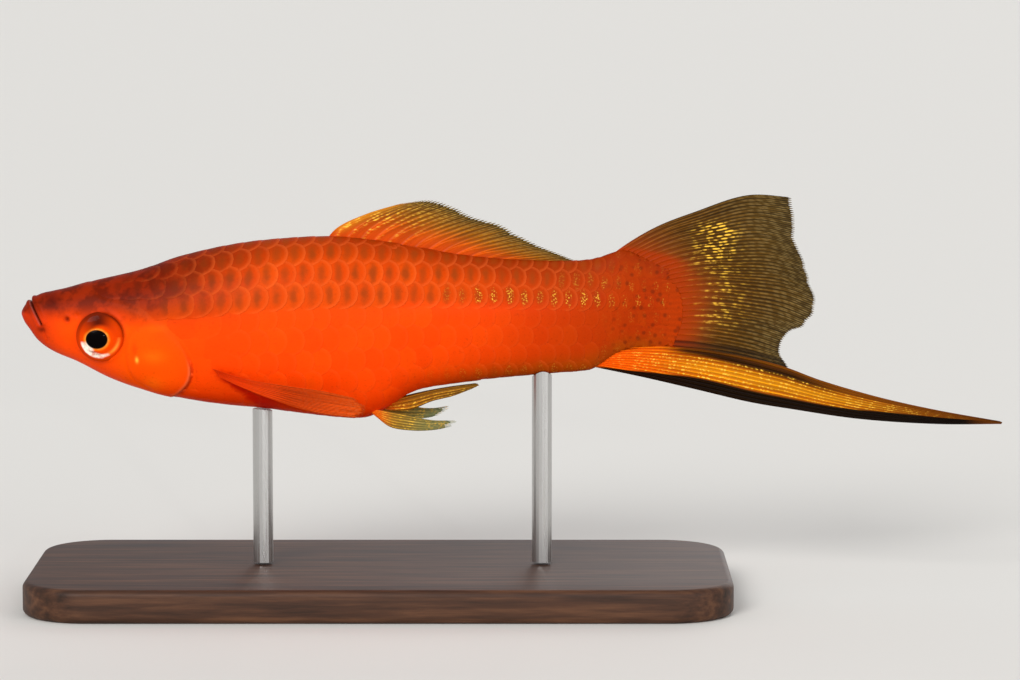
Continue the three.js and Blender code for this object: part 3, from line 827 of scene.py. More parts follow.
def fin_surface(root, tip, first_ray, last_ray):
    """The sheet between four lines in the side view, blended from all of them."""
    lines = [line_through(points) for points in (root, tip, first_ray, last_ray)]
    root_line, tip_line, first_line, last_line = lines

    def place(u, v):
        cu, cv = u[..., None], v[..., None]
        corners = [root_line(0.0), root_line(1.0), tip_line(0.0), tip_line(1.0)]
        return (
            root_line(v) * (1 - cu) + tip_line(v) * cu
            + first_line(u) * (1 - cv) + last_line(u) * cv
            - corners[0] * (1 - cu) * (1 - cv) - corners[1] * (1 - cu) * cv
            - corners[2] * cu * (1 - cv) - corners[3] * cu * cv
        )

    return place


def ray_pattern(u, v, rays, forks, fork_at, crest):
    """1 on a ray and 0 on the membrane; each ray forks once or twice on its way out."""
    local = v * rays - np.clip(np.floor(v * rays), 0, rays - 1) - 0.5
    first = 0.25 * smooth(fork_at[0], fork_at[0] + 0.5, u) if forks > 0 else 0 * u
    second = 0.115 * smooth(fork_at[1], fork_at[1] + 0.45, u) if forks > 1 else 0 * u
    width = crest * (1 - 0.55 * u) + 0.012
    height = 0 * u
    for sign in (-1, 1):
        for small_sign in (-1, 1):
            height = np.maximum(height, bump(local, sign * first + small_sign * second, width))
    return height


def build_fin(name, lines, material, nodes, rays, forks, grid, sway, *, ragged, notch,
              thick, seed, marks, crest, fork_at=(0.38, 0.66)):
    """A thin closed sheet with its rays raised on both faces and an uneven outer edge."""
    rows, columns = grid
    rng = np.random.default_rng(SEED * 100 + seed)
    u, v = np.meshgrid(np.linspace(0, 1, rows), np.linspace(0, 1, columns), indexing="ij")
    ray = ray_pattern(u, v, rays, forks, fork_at, crest)
    at_tip = ray_pattern(np.ones(columns), v[0], rays, forks, fork_at, crest)
    lengths = rng.uniform(-1, 0.6, rays + 1)
    uneven = np.interp(v[0] * rays, np.arange(rays + 1), lengths)
    reach = 1 - notch * (1 - at_tip) + ragged * np.minimum(uneven, 0)
    place = fin_surface(*lines)
    flat = place(u * reach[None, :], v)
    x, z = flat[..., 0], flat[..., 1]
    membrane, height = sizes().membrane / MM, sizes().ray_height / MM
    thinning = 1 - 0.6 * u
    half = thick * (membrane / 2 * thinning + height * thinning * ray)
    middle = sway(x, z, u, v)
    near = np.stack([x, middle - half, z], -1)
    far = np.stack([x, middle + half, z], -1)
    count = rows * columns
    quads = grid_faces(rows, columns)
    faces = quads[:, ::-1].tolist() + (quads + count).tolist()
    border = (
        [j for j in range(columns)]
        + [i * columns + columns - 1 for i in range(1, rows)]
        + [(rows - 1) * columns + j for j in range(columns - 2, -1, -1)]
        + [i * columns for i in range(rows - 2, 0, -1)]
    )
    for a, b in zip(border, border[1:] + border[:1]):
        faces.append([a, b, b + count, a + count])
    spans = np.linalg.norm(np.diff(flat, axis=0), axis=-1)
    distance = np.concatenate([np.zeros((1, columns)), np.cumsum(spans, axis=0)])
    values = {"ray": ray, "along": u, "ray_number": v * rays, "distance": distance}
    values.update(marks(x, z, u, v, ray))
    both = {key: np.concatenate([value.ravel()] * 2) for key, value in values.items()}
    points = np.vstack([near.reshape(-1, 3), far.reshape(-1, 3)])
    return make_piece(name, points, faces, material, nodes, both)


DORSAL_LINES = (
    [(36.2, 8.0), (43, 7.4), (50, 6.2), (58.4, 5.2)],
    [(45.6, 12.85), (49.3, 13.2), (52.9, 12.0), (57.1, 10.45), (61.6, 8.0), (66.6, 6.0)],
    [(36.2, 8.0), (37.8, 9.85), (41.2, 11.5), (45.6, 12.85)],
    [(58.4, 5.2), (60.4, 5.6), (63.6, 5.8), (66.6, 6.0)],
)
FAN_LINES = (
    [(69.4, 5.6), (73, 5.6), (76.4, 4.2), (78.6, 2.6), (79.2, -1.0), (78.0, -4.6)],
    [(92.6, 13.5), (92.8, 9.0), (94.0, 5.4), (94.6, 3.4), (95.5, 1.0), (94.0, -1.8),
     (92.0, -2.9), (91.0, -5.0), (92.3, -7.2)],
    [(69.4, 5.6), (72.4, 7.9), (76.2, 10.1), (80.6, 11.8), (87, 13.8), (92.6, 13.5)],
    [(78.0, -4.6), (81.5, -4.95), (86.0, -5.7), (92.3, -7.2)],
)
SWORD_LINES = (
    [(69.4, -4.8), (69.0, -5.8), (68.4, -6.8)],
    [(117.6, -13.6), (117.9, -13.75), (117.8, -13.95)],
    [(69.4, -4.8), (74, -4.35), (79.6, -4.5), (85.6, -5.35), (91.2, -6.75), (95.9, -8.5),
     (103, -10.6), (110, -12.2), (117.6, -13.6)],
    [(68.4, -6.8), (74.6, -8.1), (81, -9.6), (87.5, -11.15), (92.5, -12.0), (100.4, -13.2),
     (110, -13.9), (117.8, -13.95)],
)
PECTORAL_LINES = (
    [(23.2, -6.4), (23.7, -6.9), (24.0, -7.4)],
    [(40.2, -9.6), (41.5, -10.9), (41.0, -12.1)],
    [(23.2, -6.4), (27.4, -7.6), (32.0, -8.3), (36.2, -8.9), (40.2, -9.7)],
    [(24.0, -7.4), (27.0, -8.7), (30.2, -9.9), (35.6, -11.5), (41.0, -12.1)],
)
PELVIC_LINES = (
    [(41.6, -11.7), (42.0, -12.2), (42.4, -12.6)],
    [(51.8, -13.0), (52.5, -13.2), (51.4, -13.8)],
    [(41.6, -11.7), (45.4, -12.3), (49.2, -13.0), (51.8, -13.0)],
    [(42.4, -12.6), (44.2, -13.9), (46.8, -14.3), (49.4, -14.2), (51.4, -13.8)],
)
GONOPODIUM_LINES = (
    [(43.4, -11.0), (43.4, -11.6), (43.6, -12.1)],
    [(54.5, -8.8), (54.9, -9.0), (54.0, -9.5)],
    [(43.4, -11.0), (46.4, -10.2), (48.6, -9.7), (51.4, -9.2), (54.5, -8.8)],
    [(43.6, -12.1), (46.6, -12.0), (49.2, -11.0), (51.6, -10.4), (54.0, -9.5)],
)
FAR_FIN_LIFT = 0.9


def fin_material(name, film_stops, ray_stops, clear, gold_strength, bead, tints):
    """Living fin: a film of skin over bony rays, smooth and a little see-through between them."""
    material = new_material(name)
    mark = {
        key: add_node(material, "ShaderNodeAttribute", attribute_name=key).outputs["Fac"]
        for key in ["ray", "along", "distance", "ray_number", "glint"] + [tint[0] for tint in tints]
    }
    film, bone = [
        add_node(material, "ShaderNodeValToRGB", {"Fac": mark["along"]}, stops=stops)
        for stops in (film_stops, ray_stops)]
    colour = lay_colours(material, film, [(bone, mark["ray"])])
    place = add_node(
        material, "ShaderNodeCombineXYZ", {"X": mark["distance"], "Y": mark["ray_number"]})
    # Rays differ from one to the next, in streaks that run a few millimetres along them
    streaks = add_node(
        material, "ShaderNodeVectorMath", {0: place, 1: (1 / RAY_STREAK, 2.3, 1)},
        operation="MULTIPLY")
    streaks = add_node(
        material, "ShaderNodeTexNoise", {"Vector": streaks, "Scale": 1.0, "Detail": 3})
    shade = add_node(
        material, "ShaderNodeMapRange",
        {"Value": streaks, "From Min": 0.3, "From Max": 0.7, "To Min": 0.62, "To Max": 1.3})
    colour = add_node(
        material, "ShaderNodeMix", {"Factor": 1.0, "A": colour, "B": shade},
        data_type="RGBA", blend_type="MULTIPLY")
    # The joints of each ray lie like beads on a string: faint pale dots mark them, and a painted
    # gold glint lights them one by one
    beads = add_node(
        material, "ShaderNodeVectorMath", {0: place, 1: (1 / bead, 2, 1)}, operation="MULTIPLY")
    beads = add_node(
        material, "ShaderNodeTexVoronoi", {"Vector": beads, "Scale": 1.0, "Randomness": 0.9},
        voronoi_dimensions="2D")
    beads = add_node(
        material, "ShaderNodeMapRange", {"Value": beads, "From Min": 0.52, "From Max": 0.2})
    dots = add_node(
        material, "ShaderNodeMath", {0: beads, 1: mark["ray"]}, operation="MULTIPLY")
    faint = add_node(
        material, "ShaderNodeMapRange",
        {"Value": mark["along"], "From Min": 0.5, "To Min": 0.03, "To Max": 0.16})
    patchy = add_node(
        material, "ShaderNodeTexNoise",
        {"Vector": add_node(material, "ShaderNodeTexCoord").outputs["Object"],
         "Scale": repeats(GLINT_PATCH), "Detail": 2})
    patchy = add_node(
        material, "ShaderNodeMapRange",
        {"Value": patchy, "From Min": 0.44, "From Max": 0.6, "To Min": 0.04})
    colour = lay_colours(material, colour, [
        ("#E8C47A", dots, faint),
        *((tone, mark[key], strength) for key, tone, strength in tints),
        # Painted highlight: gold glints on the ray joints, where the glint mark is set
        (colours().gold, dots, mark["glint"], patchy, gold_strength)])
    solid = add_node(
        material, "ShaderNodeMapRange",
        {"Value": mark["along"], "From Min": 0.2, "To Min": 1.0, "To Max": clear})
    solid = add_node(
        material, "ShaderNodeMath", {0: solid, 1: mark["ray"]},
        operation="MAXIMUM", use_clamp=True)
    relief = add_node(
        material, "ShaderNodeBump", {"Height": dots, "Strength": 0.35, "Distance": 0.05 * MM})
    shader = add_node(
        material, "ShaderNodeBsdfPrincipled",
        {"Base Color": colour, "Alpha": solid, "Roughness": 0.36, "IOR": 1.4,
         "Specular IOR Level": 0.08, "Normal": relief})
    add_node(material, "ShaderNodeOutputMaterial", {"Surface": shader})
    return material


def build_dorsal_fin():
    """The dorsal fin, gold along its front with painted highlights, and smoky at its ragged edge.
    """
    def marks(x, z, u, v, ray):
        return {
            # glint and edge_gold are painted gold highlights on the rays
            "glint": bump(u, 0.45, 0.4) * smooth(0.5, 0.0, v),
            "blush": smooth(0.55, 0.0, u),
            "edge_gold": bump(v, 0.02, 0.05) * smooth(0.1, 0.3, u),
            "dark": smooth(0.86, 1.0, u) * (1 - ray),
        }

    film = ((0.0, "#C43C00"), (0.3, "#AC4202"), (0.62, "#7E4606"), (1.0, "#3A2C0A"))
    rays = ((0.0, "#CC4200"), (0.4, "#CE5A02"), (0.7, "#A0640A"), (1.0, "#66521A"))
    # edge_gold paints a gold highlight along the fin's first ray
    tints = (("blush", "#D04402", 0.55), ("edge_gold", "#D8861A", 0.7), ("dark", "#2A2210", 0.5))
    material = fin_material("dorsal fin film and rays", film, rays, 0.92, 1.5, 0.4, tints)
    return build_fin(
        "dorsal_fin_rays", DORSAL_LINES, material, ("dorsal_fin",), 14, 2, (72, 560),
        lambda x, z, u, v: 0.25 * np.sin(u * 2.2), ragged=0.06, notch=0.06, thick=0.75, seed=1,
        marks=marks, crest=0.12, fork_at=(0.08, 0.5))


def build_caudal_fan():
    """The tail fin, orange at its foot and smoky olive beyond, with two patches of painted gold
    glints.
    """
    def marks(x, z, u, v, ray):
        # Painted highlight: two patches of gold glints on the rays
        glint_zone = bump(x, 83.2, 1.9) * smooth(4.6, 6.6, z) * smooth(11.2, 9.6, z)
        fainter = bump(x, 83.8, 2.8) * smooth(-3.5, 0.0, z) * smooth(8, 4.5, z)
        above = np.maximum(z - 5.5, 0)
        foot = smooth(82.2, 79.0, x + 0.045 * (z - 0.5) ** 2 + 1.2 * above ** 2)
        return {
            "glint": np.maximum(1.7 * glint_zone, 0.4 * fainter),
            "foot": foot,
            "blush": smooth(0.42, 0.0, u) * (1 - foot),
            "dark": 0.85 * bump(v, 0.95, 0.014) + 0.9 * bump(v, 0.985, 0.016)
            + 0.4 * smooth(0.9, 1.0, u) * (1 - ray),
        }

    film = (
        (0.0, "#8C3604"), (0.25, "#4C2C06"), (0.5, "#402604"), (0.8, "#34260A"), (1.0, "#2E240E"))
    rays = ((0.0, "#B04606"), (0.25, "#7A4A12"), (0.6, "#64420E"), (1.0, "#54401A"))
    tints = (("blush", "#963604", 0.75), ("foot", "#9A3000", 1.0), ("dark", "#140C08", 0.85))
    material = fin_material("tail fin film and rays", film, rays, 0.94, 2.3, 0.95, tints)
    return build_fin(
        "caudal_fan_rays", FAN_LINES, material, ("caudal_fan",), 24, 2, (72, 650),
        lambda x, z, u, v: tail_sway(x) + 0.35 * np.sin(z * 0.55) * u ** 2 * smooth(1.0, 0.85, v),
        ragged=0.016, notch=0.02, thick=1.0, seed=2, marks=marks, crest=0.12, fork_at=(0.06, 0.5))


def build_sword():
    """The sword: gold rays between a brown line above and a black one below."""
    stripe_start = profile([
        [68, 0.93], [72, 0.87], [76, 0.79], [81, 0.71], [87, 0.73], [93, 0.73], [99, 0.69],
        [105, 0.58], [111, 0.54], [117.5, 0.52],
    ])
    upper_stripe = profile([
        [68, 0.02], [79, 0.07], [87, 0.15], [93, 0.17], [100, 0.15], [118, 0.1]])

    def marks(x, z, u, v, ray):
        start = stripe_start(x)
        lower = smooth(start - 0.02, start + 0.03, v)
        lower = lower * smooth(68.2, 70, x) * smooth(117.4, 113, x)
        upper = bump(v, upper_stripe(x), 0.13) * smooth(76, 80, x) * smooth(100, 92, x)
        above = smooth(upper_stripe(x) + 0.12, upper_stripe(x) + 0.02, v) * smooth(78, 84, x)
        return {
            # Painted highlight: gold glints on the ray joints across the gold band
            "glint": smooth(0.16, 0.26, v) * smooth(start + 0.01, start - 0.04, v)
            * smooth(117, 100, x) * smooth(69, 77, x),
            "base": smooth(14.0, 2.0, x - 69),
            # Painted highlight: a bright gold band along the middle of the gold rays
            "core": bump(v, (0.2 + start) / 2, 0.14) * smooth(74, 82, x) * smooth(112, 98, x),
            "brown": np.maximum(above, 0.8 * smooth(97, 112, x)),
            "dark": np.clip(lower + 0.9 * upper, 0, 1),
            "rim": smooth(0.975, 1.0, v),
        }

    film = ((0.0, "#D44A00"), (0.15, "#AC4A00"), (0.5, "#984A00"), (1.0, "#703402"))
    rays = (
        (0.0, "#F06402"), (0.12, "#F08004"), (0.35, "#F29A08"), (0.7, "#DC8408"), (1.0, "#9A5004"))
    tints = (
        # core is a painted highlight along the middle of the band
        ("base", "#EC5A02", 0.6), ("core", "#FFC020", 0.22), ("brown", "#6A3604", 0.85),
        ("dark", "#0A0502", 0.99), ("rim", "#2A0E04", 0.8))
    material = fin_material("sword rays", film, rays, 0.97, 1.9, 0.32, tints)
    return build_fin(
        "sword_rays", SWORD_LINES, material, ("sword",), 11, 0, (230, 132),
        lambda x, z, u, v: tail_sway(x), ragged=0.0, notch=0.0, thick=2.0, seed=3, marks=marks,
        crest=0.22)


def build_pectoral_fin(side_name):
    """A pectoral fin, folded back along the belly."""
    side = SIDES[side_name]

    def marks(x, z, u, v, ray):
        return {
            "glint": 0 * u,
            "blush": smooth(0.8, 0.1, u),
            "dark": ray * smooth(0.25, 0.7, u) * smooth(1.05, 0.8, u),
        }

    film = ((0.0, "#D83600"), (0.5, "#D44204"), (1.0, "#DC4C08"))
    rays = ((0.0, "#D03400"), (0.5, "#A43002"), (1.0, "#A84004"))
    tints = (("blush", "#D83A00", 0.4), ("dark", "#7A2404", 0.6))
    material = fin_material(
        f"pectoral fin film and rays {side_name}", film, rays, 0.9, 0.3, 0.4, tints)
    return build_fin(
        f"pectoral_rays_{side_name}", PECTORAL_LINES, material,
        (f"pectoral_fin_{side_name}",), 10, 1, (60, 260),
        lambda x, z, u, v: side * (5.45 + 0.105 * (x - 23) + 0.25 * np.sin((x - 23) / 5)),
        ragged=0.04, notch=0.03, thick=1.0, seed=4 + side, marks=marks, crest=0.16,
        fork_at=(0.2, 0.6))


def build_pelvic_fin(side_name):
    """A pelvic fin, gold-green and split at its tip; the far one is held a little higher."""
    side = SIDES[side_name]
    lift = 0 if side < 0 else FAR_FIN_LIFT

    def raised(points):
        return [(x - lift, z + (lift if i else 0)) for i, (x, z) in enumerate(points)]

    root, tip, first_ray, last_ray = PELVIC_LINES
    lines = (root, raised(tip), raised(first_ray), raised(last_ray)) if lift else PELVIC_LINES

    def marks(x, z, u, v, ray):
        return {
            # Painted highlight: gold glints on the rays, all but at the root
            "glint": smooth(0.02, 0.25, u),
            "blush": smooth(0.3, 0.0, u),
            "dark": smooth(0.75, 1.0, v) * 0.6 + 0.3 * smooth(0.85, 1.0, u),
        }

    film = ((0.0, "#D8640C"), (0.3, "#8C6420"), (0.7, "#6A6634"), (1.0, "#5C6646"))
    rays = ((0.0, "#E88A14"), (0.4, "#C09430"), (1.0, "#94A06A"))
    tints = (("blush", "#E86408", 0.8), ("dark", "#3E4A34", 0.5))
    material = fin_material(
        f"pelvic fin film and rays {side_name}", film, rays, 0.85, 1.2, 0.35, tints)
    return build_fin(
        f"pelvic_rays_{side_name}", lines, material, (f"pelvic_fin_{side_name}",),
        6, 1, (56, 96), lambda x, z, u, v: side * (1.3 + 0.11 * (x - 41)),
        ragged=0.08, notch=0.08, thick=1.4, seed=8 + side, marks=marks, crest=0.15)


def build_gonopodium():
    """The anal fin, which in a male is a rod of a few thick rays."""
    def marks(x, z, u, v, ray):
        return {
            # Painted highlight: gold glints along the middle of the rays
            "glint": 2 * bump(v, 0.62, 0.26),
            "blush": smooth(0.2, 0.0, u),
            "dark": bump(v, 0.0, 0.1),
        }

    film = ((0.0, "#C8600A"), (0.3, "#845010"), (0.7, "#7A4E12"), (1.0, "#6E4A10"))
    rays = ((0.0, "#DC7410"), (0.3, "#B87418"), (0.8, "#BC801E"), (1.0, "#9A6618"))
    tints = (("blush", "#D85808", 0.7), ("dark", "#2C1608", 0.8))
    material = fin_material("gonopodium rays", film, rays, 0.95, 1.4, 0.35, tints)
    return build_fin(
        "gonopodium_rays", GONOPODIUM_LINES, material, ("gonopodium",), 4, 0, (80, 56),
        lambda x, z, u, v: 0 * x, ragged=0.0, notch=0.01, thick=3.0, seed=11, marks=marks,
        crest=0.24)


# Eyes

EYE_RADIUS = 2.8
PUPIL = (-0.48, -0.28, 1.32, 1.14)  # centre forward and up from the eye's, half width and height


def eye_material():
    """Clear horny layer over a coloured iris: the coat gives the small sharp highlight."""
    material = new_material("clear-coated fish eye")
    mark = {
        key: add_node(material, "ShaderNodeAttribute", attribute_name=key).outputs["Fac"]
        for key in ("pupil", "from_pupil", "from_rim", "silver", "shade", "arc", "flecks")
    }
    iris = add_node(
        material, "ShaderNodeValToRGB", {"Fac": mark["from_pupil"]},
        stops=((0.0, "#FFB848"), (0.1, "#FF8A18"), (0.2, "#E84600"), (0.6, "#DC3A00"),
               (1.0, "#E84800")))
    streaks = add_node(
        material, "ShaderNodeTexNoise",
        {"Vector": add_node(material, "ShaderNodeTexCoord").outputs["Object"],
         "Scale": repeats(IRIS_STREAK), "Detail": 4})
    silver = add_node(
        material, "ShaderNodeMath", {0: mark["silver"], 1: streaks}, operation="MULTIPLY")
    silver = add_node(
        material, "ShaderNodeMapRange", {"Value": silver, "From Min": 0.16, "From Max": 0.5})
    colour = lay_colours(material, iris, (
        ("#DC3C00", streaks), ("#3E0C02", mark["shade"]), ("#FFA038", mark["arc"]),
        ("#FFEEDC", silver), ("#5A1C08", mark["flecks"]), ("#6A1A04", mark["from_rim"]),
        ("#040202", mark["pupil"])))
    shader = add_node(
        material, "ShaderNodeBsdfPrincipled",
        {"Base Color": colour, "Roughness": 0.35, "IOR": 1.376, "Specular IOR Level": 0.02,
         "Coat Weight": 0.05, "Coat Roughness": 0.02, "Coat IOR": 1.34})
    add_node(material, "ShaderNodeOutputMaterial", {"Surface": shader})
    return material


def build_eye(side_name):
    """A low dome with a raised lens, its rim tucked under the edge of the socket."""
    side = SIDES[side_name]
    around, rings = 120, 60
    t = np.linspace(0, 1, rings + 1)[1:]
    turn = np.linspace(0, 2 * math.pi, around, endpoint=False)
    r = EYE_RADIUS * 1.06 * t[:, None] * np.ones(around)
    dx, dz = r * np.cos(turn), r * np.sin(turn)
    dx, dz = np.append(dx.ravel(), 0), np.append(dz.ravel(), 0)
    away = np.hypot(dx, dz)
    crown_y, rim_y, back_y = 4.42, 3.6, 1.9
    y = rim_y + (crown_y - rim_y) * np.sqrt(np.clip(1 - (away / (EYE_RADIUS * 1.08)) ** 2, 0, 1))
    px, pz, pw, ph = PUPIL
    to_pupil = np.hypot((dx - px) / pw, (dz - pz) / ph)
    y = y + 0.1 * smooth(1.15, 0.4, to_pupil) - 0.07 * bump(to_pupil, 1.12, 0.12)
    rings_front = np.stack([EYE_X + dx, side * y, EYE_Z + dz], -1)
    back = rings_front[(rings - 1) * around:rings * around].copy()
    back[:, 1] = side * back_y
    centre_back = np.array([[EYE_X, side * (back_y - 0.2), EYE_Z]])
    points = np.vstack([rings_front, back, centre_back])
    faces = grid_faces(rings, around, closed=True).tolist()
    hub = rings * around
    last = (rings - 1) * around
    for j in range(around):
        k = (j + 1) % around
        faces.append([hub, k, j])
        faces.append([last + j, last + k, hub + 1 + k, hub + 1 + j])
        faces.append([hub + 1 + j, hub + 1 + k, len(points) - 1])
    if side > 0:
        faces = [face[::-1] for face in faces]
    ax, az = points[:, 0] - EYE_X, points[:, 2] - EYE_Z
    to_pupil = np.hypot((ax - px) / pw, (az - pz) / ph)
    away = np.hypot(ax, az) / EYE_RADIUS
    angle = np.degrees(np.arctan2(az, ax)) % 360
    silver = 1.2 * bump(angle, 218, 24) * smooth(0.5, 0.66, away) * smooth(0.98, 0.86, away)
    silver += bump(angle, 262, 34) * bump(away, 0.82, 0.12)
    shade = 0.95 * bump(angle, 100, 52) * smooth(0.36, 0.6, away)
    broken = 0.5 + 0.5 * np.sin(angle * 0.62) * np.cos(angle * 1.7 + away * 40)
    marks = {
        "pupil": smooth(1.03, 0.96, to_pupil),
        "from_pupil": np.clip((to_pupil - 1) / 1.4, 0, 1),
        "from_rim": smooth(0.86, 0.97, away) * (0.3 + 0.7 * np.maximum(bump(angle, 70, 80), 0)),
        "silver": np.clip(silver, 0, 1),
        "shade": np.clip(shade, 0, 1),
        "arc": 0.7 * bump(angle, 322, 34) * bump(away, 0.78, 0.07),
        "flecks": np.clip(bump(angle, 244, 28) * bump(away, 0.74, 0.09) * broken, 0, 1),
    }
    return make_piece(
        f"eyeball_{side_name}", points, faces, eye_material(), (f"eye_{side_name}",), marks)


# Stand

def wood_material():
    """Beech, stained dark and lacquered satin: fine long grain under a soft even shine."""
    material = new_material("dark stained beech")
    place = add_node(
        material, "ShaderNodeMapping",
        {"Vector": add_node(material, "ShaderNodeTexCoord").outputs["Object"],
         "Scale": (repeats(GRAIN_LENGTH), repeats(GRAIN_WIDTH), repeats(GRAIN_WIDTH))})
    grain = add_node(
        material, "ShaderNodeTexNoise",
        {"Vector": place, "Scale": 1.0, "Detail": 6, "Roughness": 0.6})
    colour = add_node(
        material, "ShaderNodeValToRGB", {"Fac": grain},
        stops=((0.28, "#20130B"), (0.5, "#43291A"), (0.72, "#613F29")))
    relief = add_node(
        material, "ShaderNodeBump", {"Height": grain, "Strength": 0.25, "Distance": 0.05 * MM})
    shader = add_node(
        material, "ShaderNodeBsdfPrincipled",
        {"Base Color": colour, "Roughness": 0.55, "IOR": 1.5, "Specular IOR Level": 0.22,
         "Coat Weight": 0.05, "Coat Roughness": 0.35, "Normal": relief})
    add_node(material, "ShaderNodeOutputMaterial", {"Surface": shader})
    return material


def steel_material():
    """Drawn stainless steel rod: fine lines along its length blur what it mirrors."""
    material = new_material("drawn stainless steel")
    place = add_node(
        material, "ShaderNodeMapping",
        {"Vector": add_node(material, "ShaderNodeTexCoord").outputs["Object"],
         "Scale": (repeats(SCRATCH_WIDTH), repeats(SCRATCH_WIDTH), repeats(SCRATCH_LENGTH))})
    lines = add_node(
        material, "ShaderNodeTexNoise", {"Vector": place, "Scale": 1.0, "Detail": 2})
    rough = add_node(
        material, "ShaderNodeMapRange", {"Value": lines, "To Min": 0.2, "To Max": 0.38})
    shader = add_node(
        material, "ShaderNodeBsdfPrincipled",
        {"Base Color": linear("#C4C3C1"), "Metallic": 1.0, "Roughness": rough})
    add_node(material, "ShaderNodeOutputMaterial", {"Surface": shader})
    return material


def build_stand_base():
    """A rounded slab with eased edges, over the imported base."""
    low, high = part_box("stand_base")
    half = (Vector(high) - Vector(low)) / 2 / MM
    corner, ease = 8.0, 0.8
    turn = np.linspace(0, 2 * math.pi, 128, endpoint=False)
    rounding = [
        (ease * (1 - math.sin(a)), ease * (1 - math.cos(a)))
        for a in np.linspace(0, math.pi / 2, 7)
    ]
    rings = [(inset, 2 * half.z - drop) for inset, drop in rounding]
    rings += [(inset, drop) for inset, drop in rounding[::-1]]
    cx, cy = half.x - corner, half.y - corner
    points = []
    for inset, z in rings:
        radius = corner - inset
        x = np.sign(np.cos(turn)) * cx + radius * np.cos(turn)
        y = np.sign(np.sin(turn)) * cy + radius * np.sin(turn)
        points.append(np.stack([x, y, np.full(turn.shape, z)], -1))
    grid = np.array(points)
    rows, columns = grid.shape[:2]
    faces = grid_faces(rows, columns, closed=True)[:, ::-1].tolist()
    faces.append(list(range(columns)))
    faces.append([(rows - 1) * columns + j for j in range(columns)][::-1])
    centre = (Vector(low) + Vector(high)) / 2
    placed = grid.reshape(-1, 3) + np.array([centre.x, centre.y, low.z]) / MM
    placed = placed - FISH_ORIGIN / MM
    make_piece("stand_slab", placed, faces, wood_material(), ("stand_base",))


def build_stand_rods():
    """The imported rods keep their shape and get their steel."""
    steel = steel_material()
    for name in ("stand_rod_front", "stand_rod_rear"):
        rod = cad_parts[name]
        for slot in rod.material_slots:
            slot.material = steel


# Stage

def build_stage():
    """Pale floor, soft studio light and the camera at the photograph's angle."""
    scene = bpy.context.scene
    stage = scene.swordtail_stage
    scene.view_settings.view_transform = "Standard"  # keeps the fish's full oranges
    mesh = bpy.data.meshes.new("floor")
    reach = 60.0  # metres, so that the floor's edge is far away
    mesh.from_pydata(
        [(-reach, -reach, 0), (reach, -reach, 0), (reach, reach, 0), (-reach, reach, 0)],
        [], [(0, 1, 2, 3)])
    material = new_material("matt pale studio floor")
    shader = add_node(
        material, "ShaderNodeBsdfPrincipled",
        {"Base Color": linear(stage.floor), "Roughness": 0.9, "Specular IOR Level": 0.1})
    add_node(material, "ShaderNodeOutputMaterial", {"Surface": shader})
    mesh.materials.append(material)
    floor = bpy.data.objects.new("floor", mesh)
    scene.collection.objects.link(floor)

    world = bpy.data.worlds.new("studio")
    scene.world = world
    world.use_nodes = True
    background = world.node_tree.nodes["Background"]
    background.inputs["Color"].default_value = linear("#E4E6EA")
    background.inputs["Strength"].default_value = 0.68

    middle = Vector((0.01, 0, 0.032))
    lamps = (
        ("key", (-0.5, -1.2, 0.76), 2.0, 24),
        ("fill", (0.95, -0.8, 0.3), 0.8, 36),
        ("catch light", (0.25, -1.1, 0.18), 0.3, 1.5),
        ("back", (0.5, 1.2, 0.5), 0.7, 40),
    )
    for name, place, strength, spread in lamps:
        lamp = bpy.data.lights.new(name, "SUN")
        lamp.energy = strength
        lamp.angle = math.radians(spread)
        holder = bpy.data.objects.new(name, lamp)
        holder.location = place
        holder.rotation_euler = (middle - Vector(place)).to_track_quat("-Z", "Y").to_euler()
        scene.collection.objects.link(holder)

    camera = bpy.data.cameras.new("camera")
    camera.lens = stage.lens
    camera.sensor_width = 36
    camera.clip_start = 0.01
    # The photograph is 1020 px wide at 0.12 mm a pixel, and the lips are 22 px from its left
    pixel, width_px, height_px = 0.12 * MM, 1020, 680
    lips_px, axis_px = 22, 310
    distance = width_px * pixel * camera.lens / camera.sensor_width
    aim = Vector((
        FISH_ORIGIN[0] + (width_px / 2 - lips_px) * pixel, 0,
        FISH_ORIGIN[2] + (axis_px - height_px / 2) * pixel,
    ))
    back = Vector((0, -math.cos(stage.elevation), math.sin(stage.elevation)))
    eye = bpy.data.objects.new("camera", camera)
    eye.location = aim + back * distance
    eye.rotation_euler = (-back).to_track_quat("-Z", "Y").to_euler()
    scene.collection.objects.link(eye)
    scene.camera = eye


# Operators

class SwordtailOperator:
    """What every step shares."""
    bl_options = {"REGISTER", "UNDO"}


class SWORDTAIL_OT_skin(SwordtailOperator, bpy.types.Operator):
    """Make the skin of head, trunk and tail stem"""
    bl_idname = "swordtail.skin"
    bl_label = "Skin"

    def execute(self, context):
        build_skin()
        return {"FINISHED"}


class SWORDTAIL_OT_scales(SwordtailOperator, bpy.types.Operator):
    """Lay the scales over both sides of the skin"""
    bl_idname = "swordtail.scales"
    bl_label = "Scales"

    def execute(self, context):
        for side_name in SIDES:
            build_scales(side_name)
        return {"FINISHED"}


class SWORDTAIL_OT_eyes(SwordtailOperator, bpy.types.Operator):
    """Make both eyes"""
    bl_idname = "swordtail.eyes"
    bl_label = "Eyes"

    def execute(self, context):
        for side_name in SIDES:
            build_eye(side_name)
        return {"FINISHED"}


class SWORDTAIL_OT_middle_fins(SwordtailOperator, bpy.types.Operator):
    """Make the dorsal fin and the gonopodium"""
    bl_idname = "swordtail.middle_fins"
    bl_label = "Dorsal fin and gonopodium"

    def execute(self, context):
        build_dorsal_fin()
        build_gonopodium()
        return {"FINISHED"}


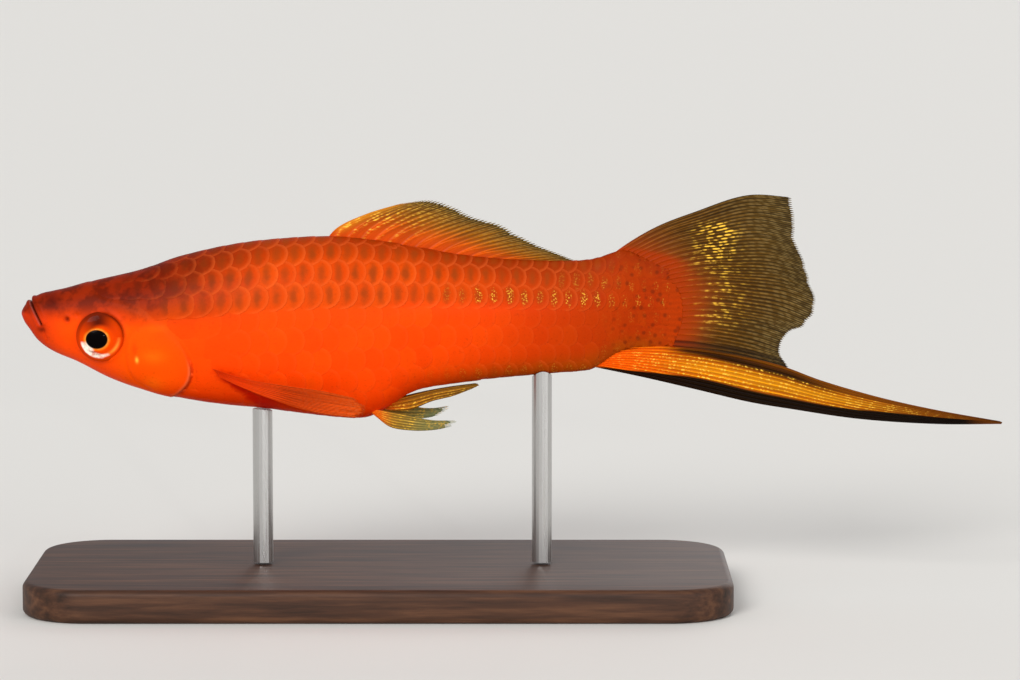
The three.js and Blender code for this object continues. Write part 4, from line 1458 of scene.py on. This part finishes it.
class SWORDTAIL_OT_tail_fin(SwordtailOperator, bpy.types.Operator):
    """Make the tail fin and its sword"""
    bl_idname = "swordtail.tail_fin"
    bl_label = "Tail fin and sword"

    def execute(self, context):
        build_caudal_fan()
        build_sword()
        return {"FINISHED"}


class SWORDTAIL_OT_paired_fins(SwordtailOperator, bpy.types.Operator):
    """Make the pectoral and pelvic fins"""
    bl_idname = "swordtail.paired_fins"
    bl_label = "Paired fins"

    def execute(self, context):
        for side_name in SIDES:
            build_pectoral_fin(side_name)
            build_pelvic_fin(side_name)
        return {"FINISHED"}


class SWORDTAIL_OT_stand(SwordtailOperator, bpy.types.Operator):
    """Finish the display stand"""
    bl_idname = "swordtail.stand"
    bl_label = "Stand"

    def execute(self, context):
        build_stand_base()
        build_stand_rods()
        return {"FINISHED"}


class SWORDTAIL_OT_stage(SwordtailOperator, bpy.types.Operator):
    """Set up floor, light and camera"""
    bl_idname = "swordtail.stage"
    bl_label = "Stage"

    def execute(self, context):
        build_stage()
        return {"FINISHED"}


STEPS = ("skin", "scales", "eyes", "middle_fins", "tail_fin", "paired_fins", "stand", "stage")


class SWORDTAIL_PT_panel(bpy.types.Panel):
    """The steps that dress the swordtail"""
    bl_idname = "SWORDTAIL_PT_panel"
    bl_label = "Swordtail"
    bl_space_type = "VIEW_3D"
    bl_region_type = "UI"
    bl_category = "Swordtail"

    def draw(self, context):
        for step in STEPS:
            self.layout.operator(f"swordtail.{step}")
        for group in (sizes(), colours(), context.scene.swordtail_stage):
            for name in group.__annotations__:
                self.layout.prop(group, name)


CLASSES = (
    SwordtailSizes, SwordtailColours, SwordtailStage, SWORDTAIL_OT_skin, SWORDTAIL_OT_scales,
    SWORDTAIL_OT_eyes, SWORDTAIL_OT_middle_fins, SWORDTAIL_OT_tail_fin,
    SWORDTAIL_OT_paired_fins, SWORDTAIL_OT_stand, SWORDTAIL_OT_stage, SWORDTAIL_PT_panel,
)


def register():
    """Adds the classes and the settings to Blender."""
    for cls in CLASSES:
        bpy.utils.register_class(cls)
    bpy.types.Scene.swordtail_sizes = bpy.props.PointerProperty(type=SwordtailSizes)
    bpy.types.Scene.swordtail_colours = bpy.props.PointerProperty(type=SwordtailColours)
    bpy.types.Scene.swordtail_stage = bpy.props.PointerProperty(type=SwordtailStage)


def unregister():
    """Takes the settings and the classes out again."""
    del bpy.types.Scene.swordtail_stage
    del bpy.types.Scene.swordtail_colours
    del bpy.types.Scene.swordtail_sizes
    for cls in reversed(CLASSES):
        bpy.utils.unregister_class(cls)


def main():
    """Runs every step in order."""
    register()
    for step in STEPS:
        getattr(bpy.ops.swordtail, step)()


if __name__ == "__main__":
    main()
